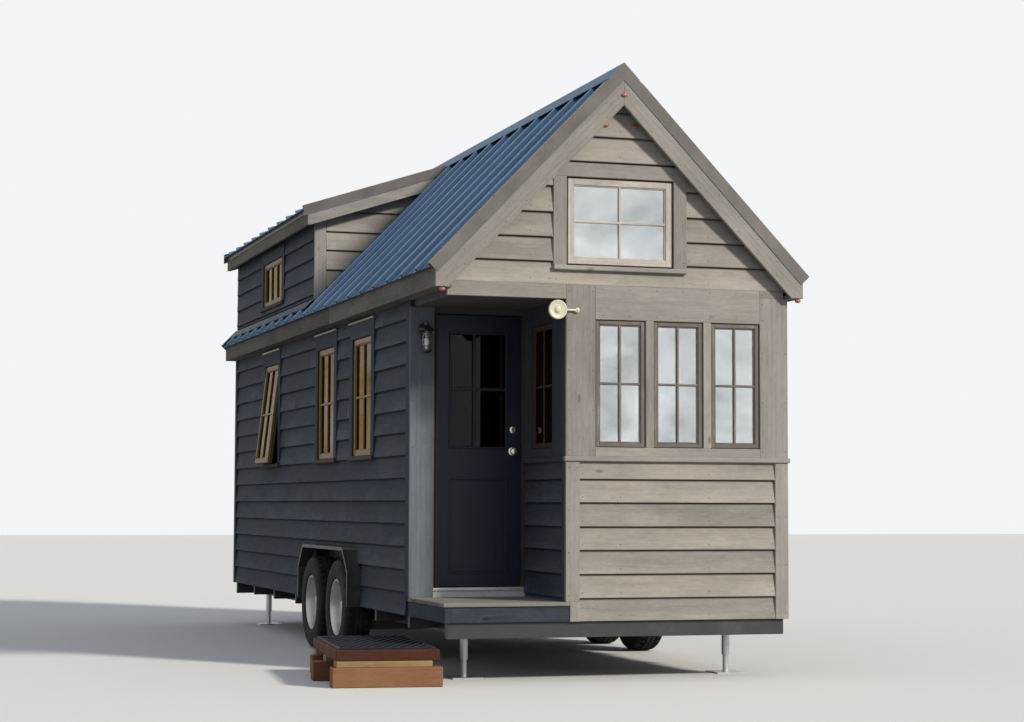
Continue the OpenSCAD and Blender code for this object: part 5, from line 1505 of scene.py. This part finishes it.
# %% Jambs, sill and threshold
jamb_bm = new_piece()
jamb_head = house_box("door_jambs")[1].z
jamb_foot = 0.561
jamb_left, frame_left, frame_right = -1.036, -0.984, -0.363
jamb_back = 0.982
stop_back = 0.9245
stop_t = 0.012
for x0, x1, y0, y1, ease in ((jamb_left, -0.988, wall_end_y, jamb_back - 0.010, 0.002),
                             (jamb_left, -0.998, jamb_back - 0.010, jamb_back, 0.0),
                             (frame_left, frame_left + stop_t, wall_end_y, stop_back, 0.002),
                             (frame_right, bay_frame_x, wall_end_y, jamb_back, 0.002),
                             (frame_right - stop_t, frame_right, wall_end_y, stop_back, 0.002)):
    board(jamb_bm, (x0, y0, jamb_foot), (x1, y1, jamb_head), "z", ease)
finish_piece("jamb_planks", jamb_bm, jamb_brown, ["door_jambs"])
sill_low = house_box("door_sill")[0]
nose_bm = bmesh.new()
nose = make_box((jamb_left, sill_low.y - 0.012, 0.542), (bay_left, sill_low.y, 0.562))
ease_edges(nose, 0.004, 3, [e for e in nose.edges if all(v.co.y < sill_low.y - 0.01 for v in e.verts)])
join(nose_bm, nose, "x")
for i in range(5):
    y = sill_low.y + 0.004 + i * 0.012
    flute = make_box((frame_left, y, 0.560), (frame_right, y + 0.006, 0.5625))
    sawn(nose_bm, flute, "x", (), 0.001)
finish_piece("threshold_nose", nose_bm, sill_bright)

# %% [markdown]
# Knob and deadbolt are turned pieces, so half a profile is drawn with a few vertices and spun round
# its axis. The same helper turns the lantern, the dish, the lamps and the tyres.

# %% Turned pieces


def turned(bm, profile, place, steps=40):
    """Spins a profile of (radius, height) round the local Z and adds it to the piece."""
    part = bmesh.new()
    verts = [part.verts.new((r, 0.0, h)) for r, h in profile]
    for a, b in zip(verts, verts[1:]):
        part.edges.new((a, b))
    bmesh.ops.spin(part, geom=part.verts[:] + part.edges[:], cent=(0, 0, 0), axis=(0, 0, 1),
                   angle=2 * math.pi, steps=steps, use_merge=True)
    bmesh.ops.remove_doubles(part, verts=part.verts, dist=0.00002)
    bmesh.ops.recalc_face_normals(part, faces=part.faces)
    join(bm, part, "z", place)


def pointing(x, y, z, towards):
    """A place whose local Z points along a direction."""
    return Matrix.Translation((x, y, z)) @ Vector(towards).to_track_quat("Z", "Y").to_matrix().to_4x4()


hardware_bm = bmesh.new()
knob_x, knob_z, bolt_z = -0.430, 1.472, 1.617
knob_profile = [(0.0, 0.0), (0.032, 0.0), (0.032, 0.003), (0.030, 0.006), (0.022, 0.008), (0.013, 0.009),
                (0.011, 0.014), (0.011, 0.022), (0.016, 0.026), (0.0235, 0.032), (0.0265, 0.039),
                (0.0268, 0.045), (0.024, 0.050), (0.018, 0.0535), (0.009, 0.055), (0.0, 0.055)]
for y, out in ((leaf_low.y, -1), (leaf_high.y, 1)):
    turned(hardware_bm, knob_profile, pointing(knob_x, y, knob_z, (0, out, 0)))
bolt_profile = [(0.0, 0.0), (0.027, 0.0), (0.027, 0.004), (0.024, 0.011), (0.020, 0.013), (0.012, 0.0135),
                (0.0115, 0.012), (0.0, 0.012)]
turned(hardware_bm, bolt_profile, pointing(knob_x, leaf_low.y, bolt_z, (0, -1, 0)))
turned(hardware_bm, [(0, 0), (0.024, 0), (0.024, 0.006), (0.020, 0.009), (0, 0.009)],
       pointing(knob_x, leaf_high.y, bolt_z, (0, 1, 0)))
thumb = make_box((knob_x - 0.016, leaf_high.y + 0.008, bolt_z - 0.004),
                 (knob_x + 0.016, leaf_high.y + 0.018, bolt_z + 0.004))
ease_edges(thumb, 0.002, 2)
join(hardware_bm, thumb, "x")
# The leaf's half of each hinge
hinge_x, hinge_y = -0.978, jamb_back
knuckle = [(0.0053, -0.015), (0.008, -0.015), (0.008, 0.015), (0.0053, 0.015), (0.0053, -0.015)]
for z in (0.747, 1.476, 2.205):
    turned(hardware_bm, knuckle, Matrix.Translation((hinge_x, hinge_y, z)), 24)
    plate = make_box((hinge_x + 0.0075, leaf_high.y, z - 0.015),
                     (hinge_x + 0.030, leaf_high.y + 0.003, z + 0.015))
    join(hardware_bm, plate, "x")
finish_piece("door_fittings", hardware_bm, nickel, ["door_hardware"], "door", True)

# %% [markdown]
# The lantern hangs in front of the end of the left wall: a round plate, a bent arm, a roof over a
# clear globe with a lamp inside, four bars round it and a cup below.

# %% Lantern
lamp_x, lamp_y = -half_width + 0.088, post_y
hang_y = lamp_y - 0.062
roof_z = 2.2623
cup_z = roof_z - 0.150
arm_z = roof_z + 0.050
forwards = (0, -1, 0)
lantern_bm = bmesh.new()
plate = [(0, 0), (0.052, 0), (0.052, 0.003), (0.047, 0.006), (0.020, 0.010), (0, 0.010)]
arm = [(0, 0), (0.008, 0), (0.008, 0.056), (0, 0.056)]
stem = [(0, -0.022), (0.012, -0.022), (0.014, -0.018), (0.014, 0.006), (0.010, 0.010), (0.005, 0.012),
        (0, 0.012)]
hood = [(0, 0.004), (0.049, 0.0), (0.052, 0.002), (0.051, 0.006), (0.044, 0.015), (0.036, 0.022),
        (0.022, 0.030), (0.017, 0.036), (0.0, 0.040)]
cup = [(0, 0), (0.008, 0.0), (0.016, 0.002), (0.028, 0.006), (0.034, 0.011), (0.036, 0.017),
       (0.035, 0.020), (0.0, 0.020)]
turned(lantern_bm, plate, pointing(lamp_x, lamp_y, roof_z, forwards))
turned(lantern_bm, arm, pointing(lamp_x, lamp_y - 0.006, arm_z, forwards), 16)
turned(lantern_bm, stem, Matrix.Translation((lamp_x, hang_y, arm_z)), 24)
turned(lantern_bm, hood, Matrix.Translation((lamp_x, hang_y, roof_z)))
turned(lantern_bm, cup, Matrix.Translation((lamp_x, hang_y, cup_z)))
rod = [(0, 0.014), (0.0025, 0.014), (0.0025, 0.154), (0, 0.154)]
rod_at = 0.0325
for i in range(4):
    angle = math.radians(45 + 90 * i)
    spot = (lamp_x + rod_at * math.cos(angle), hang_y + rod_at * math.sin(angle), cup_z)
    turned(lantern_bm, rod, Matrix.Translation(spot), 10)
for z in (0.045, 0.100):
    hoop = [(0.0315, z), (0.0345, z), (0.0345, z + 0.004), (0.0315, z + 0.004), (0.0315, z)]
    turned(lantern_bm, hoop, Matrix.Translation((lamp_x, hang_y, cup_z)), 32)
finish_piece("lantern_frame", lantern_bm, lantern_black, ["lantern_body"], smooth=True)
globe_bm = bmesh.new()
outside = [(0.017, 0.0), (0.022, 0.008), (0.027, 0.030), (0.029, 0.058), (0.0275, 0.095), (0.022, 0.118),
           (0.018, 0.1295)]
inside = [(r - 0.002, h) for r, h in reversed(outside)]
on_cup = Matrix.Translation((lamp_x, hang_y, cup_z + 0.0202))
turned(globe_bm, outside + inside + outside[:1], on_cup)
finish_piece("lantern_glass_globe", globe_bm, globe_glass, ["lantern_globe"], smooth=True)
bulb_bm = bmesh.new()
bulb = [(0, 0.0), (0.009, 0.0), (0.009, 0.022), (0.011, 0.030), (0.015, 0.045), (0.0155, 0.060),
        (0.012, 0.078), (0.006, 0.092), (0, 0.099)]
turned(bulb_bm, bulb, on_cup, 28)
bulb_white = worn_finish("bulb_white", (0.72, 0.80, 0.74), 0.3, spots=0.05, size=30, relief=0.00005)
finish_piece("lantern_bulb", bulb_bm, bulb_white, smooth=True)

# %% [markdown]
# A cream dish hangs beside the bay on a short bar. Its face has two rings and a boss, all turned.

# %% Dish
dish_bm = bmesh.new()
dish_x, dish_z = -0.434, 2.3523
bar_x = -0.300
dish_profile = [(0, 0.008), (0.054, 0.006), (0.0595, 0.008), (0.062, 0.012), (0.062, 0.024),
                (0.060, 0.0285), (0.056, 0.030), (0.051, 0.0285), (0.046, 0.0265), (0.030, 0.0262),
                (0.0275, 0.0285), (0.025, 0.0285), (0.0225, 0.0262), (0.0205, 0.027), (0.0195, 0.033),
                (0.016, 0.0355), (0.0, 0.036)]
turned(dish_bm, dish_profile, pointing(dish_x, face, dish_z, forwards), 56)
bracket = make_box((dish_x + 0.02, face - 0.020, dish_z - 0.006), (bar_x, face - 0.004, dish_z + 0.006))
ease_edges(bracket, 0.002, 2)
join(dish_bm, bracket, "x")
boss = [(0, 0), (0.016, 0), (0.016, 0.012), (0.014, 0.018), (0.008, 0.020), (0, 0.020)]
turned(dish_bm, boss, pointing(bar_x, face, dish_z, forwards), 28)
finish_piece("cream_dish", dish_bm, cream, ["wall_disc"], smooth=True)

# %% [markdown]
# Five small red lamps mark the width of the trailer: one at the peak, two on the gable and one under
# each end of the rakes. Each has a dark base and a domed lens with ribs. They are turned round and
# then drawn out sideways, because the real lamps are oval.

# %% Marker lamps
marker_bm = bmesh.new()
base_bm = bmesh.new()
lens = [(0, 0.003), (0.0105, 0.003), (0.0115, 0.005), (0.0105, 0.0065), (0.011, 0.008), (0.0095, 0.0105),
        (0.006, 0.013), (0, 0.014)]
base = [(0, 0), (0.012, 0), (0.012, 0.003), (0, 0.003)]
peak_z = slope_z(0, face_low - 0.6 * rake_w)
pair_z = slope_z(0, deck_foot_lift + 0.0001) - 0.213
spots = [(0.0, rake_face, peak_z), (-0.100, 0.004, pair_z), (0.100, 0.004, pair_z)]
hung_y = rake_face + 0.020
hung_z = fascia_foot - 0.015
spots += [(0.048 - fascia_x, hung_y, hung_z), (fascia_x - 0.031, hung_y, hung_z)]
oval = Matrix.Diagonal((1.75, 1.15, 1.0, 1.0))
for x, y, z in spots:
    turned(marker_bm, lens, pointing(x, y, z, forwards) @ oval, 24)
    turned(base_bm, base, pointing(x, y, z, forwards) @ oval, 24)
for x, y, z in spots[3:]:
    holder = make_box((x - 0.012, y - 0.003, z), (x + 0.012, y, fascia_foot))
    join(base_bm, holder, "x")
finish_piece("marker_lenses", marker_bm, lens_red, ["marker_lights"], smooth=True)
finish_piece("marker_bases", base_bm, screw_head, smooth=True)

# %% [markdown]
# The step is a stack: three sleepers on the ground, a thinner layer, and four heavy planks under a
# rubber mat. It stands loose beside the porch, six degrees askew. The timbers are rough-sawn, stained
# red-brown and worn round at the corners. The middle layer is paler wood that was left bare.

# %% Step timbers
step_red = stained_boards("step_red", (0.040, 0.015, 0.009), (0.095, 0.034, 0.018),
                          (0.26, 0.125, 0.07), 0.75, 0.7, 0.003)
step_low = stained_boards("step_low", (0.14, 0.065, 0.034), (0.26, 0.125, 0.065), (0.38, 0.20, 0.11),
                          0.8, 0.7, 0.003)
step_pale = stained_boards("step_pale", (0.24, 0.155, 0.07), (0.40, 0.28, 0.14), (0.56, 0.43, 0.25),
                           0.8, 0.6, 0.003)
step_at = Matrix.Translation((-half_width - 0.712, -0.100, 0)) @ Matrix.Rotation(math.radians(-6), 4, "Z")
step_w = 0.640
step_d = 1.250
sleeper_w = 0.140
packer_z, plank_z, step_top = 0.122, 0.162, 0.230
low_bm = new_piece()
pale_bm = new_piece()
red_bm = new_piece()
middle = (step_d - sleeper_w) / 2
for along in (0.0, middle, step_d - sleeper_w):
    over = 0.075 if along == middle else 0.020
    board(low_bm, (-over, along, 0.0), (step_w + 0.020, along + sleeper_w, packer_z), "x", 0.006,
          step_at, segments=2)
    board(pale_bm, (0.003, along + 0.003, packer_z), (step_w - 0.045, along + sleeper_w - 0.003, plank_z),
          "x", 0.004, step_at)
plank_gap = 0.006
plank = (step_d - 3 * plank_gap) / 4
for i in range(4):
    along = i * (plank + plank_gap)
    board(red_bm, (0.0, along, plank_z), (step_w, along + plank, step_top), "x", 0.007, step_at,
          segments=3)
finish_piece("step_sleepers", low_bm, step_low, ["step_timbers"])
finish_piece("step_packers", pale_bm, step_pale)
finish_piece("step_planks", red_bm, step_red)

# %% [markdown]
# The mat is one rubber sheet with a rim and slanting ribs. The ribs are real, because the low camera
# sees them edge on. Each rib starts as a bar across the whole mat and is sawn off inside the rim.

# %% Step mat
mat_bm = bmesh.new()
mat_top = step_top + 0.014
base_top = step_top + 0.006
edge = 0.022
rim = 0.020
mat_right = step_w - edge
mat_back = step_d - edge
sheet = make_box((edge, edge, step_top), (mat_right, mat_back, base_top))
sawn(mat_bm, sheet, "x", (), 0.002, step_at)
for low, high in (((edge, edge), (mat_right, edge + rim)), ((edge, mat_back - rim), (mat_right, mat_back)),
                  ((edge, edge + rim), (edge + rim, mat_back - rim)),
                  ((mat_right - rim, edge + rim), (mat_right, mat_back - rim))):
    part = make_box((*low, base_top), (*high, mat_top - 0.002))
    sawn(mat_bm, part, "x", (), 0.0015, step_at)
slant = Matrix.Rotation(math.radians(-20), 4, "Z")
slanted = Matrix.Translation((step_w / 2, step_d / 2, 0)) @ slant
for i in range(-22, 23):
    x = i * 0.052
    part = make_box((x - 0.012, -0.9, base_top), (x + 0.012, 0.9, mat_top))
    bmesh.ops.transform(part, matrix=slanted, verts=part.verts)
    for point, normal in (((edge + rim, 0, 0), (-1, 0, 0)), ((mat_right - rim, 0, 0), (1, 0, 0)),
                          ((0, edge + rim, 0), (0, -1, 0)), ((0, mat_back - rim, 0), (0, 1, 0))):
        cut_away(part, point, normal)
    if len(part.faces) > 4:
        sawn(mat_bm, part, "x", (), 0.0012, step_at)
    else:
        part.free()
finish_piece("ribbed_mat", mat_bm, mat_black, ["step_mat"])

# %% [markdown]
# Tyres and rims can't be seen in the photograph, but a visitor walking round the house would see them
# under the arches. The tyre is one spun profile with three grooves. Every second block of the outer
# ribs is then pushed in, which leaves a tread.

# %% Tyres
axle_places = (2.670, 3.530)
tyre_in, tyre_r, rim_r = 1.048, 0.355, 0.205
tyre_bm = bmesh.new()
tyre_profile = [(rim_r, 0.012), (rim_r + 0.012, 0.004), (rim_r + 0.040, 0.0), (0.290, 0.0),
                (0.322, 0.004), (0.340, 0.014), (0.349, 0.026), (0.3535, 0.044), (0.3538, 0.060),
                (0.346, 0.062), (0.346, 0.069), (0.3545, 0.071), (0.355, 0.098), (0.347, 0.100),
                (0.347, 0.105), (0.355, 0.107), (0.3545, 0.134), (0.346, 0.136), (0.346, 0.143),
                (0.3538, 0.145), (0.3535, 0.161), (0.349, 0.179), (0.340, 0.191), (0.322, 0.201),
                (0.290, 0.205), (rim_r + 0.040, 0.205), (rim_r + 0.012, 0.201), (rim_r, 0.193),
                (rim_r, 0.012)]
for side in (-1, 1):
    for y in axle_places:
        turned(tyre_bm, tyre_profile, pointing(side * tyre_in, y, tyre_r, (side, 0, 0)), 80)


def from_wheel(face):
    """A face's middle, measured from the axis of its own wheel."""
    centre = face.calc_center_median()
    wheel_y = min(axle_places, key=lambda v: abs(v - centre.y))
    return Vector((abs(centre.x) - tyre_in, centre.y - wheel_y, centre.z - tyre_r))


pushed = []
for tread in tyre_bm.faces:
    out, y, z = from_wheel(tread)
    around = math.degrees(math.atan2(z, y))
    on_rib = math.hypot(y, z) > 0.3475 and (out < 0.060 or out > 0.145)
    if on_rib and int((around + 360) // 4.5) % 2 == 0:
        pushed.append(tread)
for sunk in bmesh.ops.extrude_discrete_faces(tyre_bm, faces=pushed)["faces"]:
    out, y, z = from_wheel(sunk)
    inwards = Vector((0, -y, -z)).normalized()
    for vert in sunk.verts:
        vert.co += inwards * 0.006
finish_piece("tyre_treads", tyre_bm, tyre_rubber, ["tyres"])

# %% Rims
rim_bm = bmesh.new()
nut_bm = bmesh.new()
rim_profile = [(0.205, 0.0), (0.205, 0.193), (0.198, 0.193), (0.191, 0.180), (0.186, 0.150),
               (0.184, 0.124), (0.160, 0.118), (0.120, 0.126), (0.095, 0.130), (0.052, 0.118),
               (0.050, 0.150), (0.042, 0.156), (0.0, 0.156), (0.0, 0.102), (0.120, 0.110),
               (0.176, 0.100), (0.191, 0.0), (0.205, 0.0)]
nut_at = 0.070
for side in (-1, 1):
    for y in axle_places:
        place = pointing(side * tyre_in, y, tyre_r, (side, 0, 0))
        turned(rim_bm, rim_profile, place, 56)
        for i in range(5):
            angle = math.radians(72 * i + 20)
            nut = bmesh.new()
            spot = Matrix.Translation((nut_at * math.cos(angle), nut_at * math.sin(angle), 0.134))
            bmesh.ops.create_cone(nut, cap_ends=True, segments=6, radius1=0.011, radius2=0.009,
                                  depth=0.022, matrix=spot)
            join(nut_bm, nut, "x", place)
finish_piece("rim_dishes", rim_bm, rim_silver, ["wheel_rims"], smooth=True)
finish_piece("wheel_nuts", nut_bm, zinc)
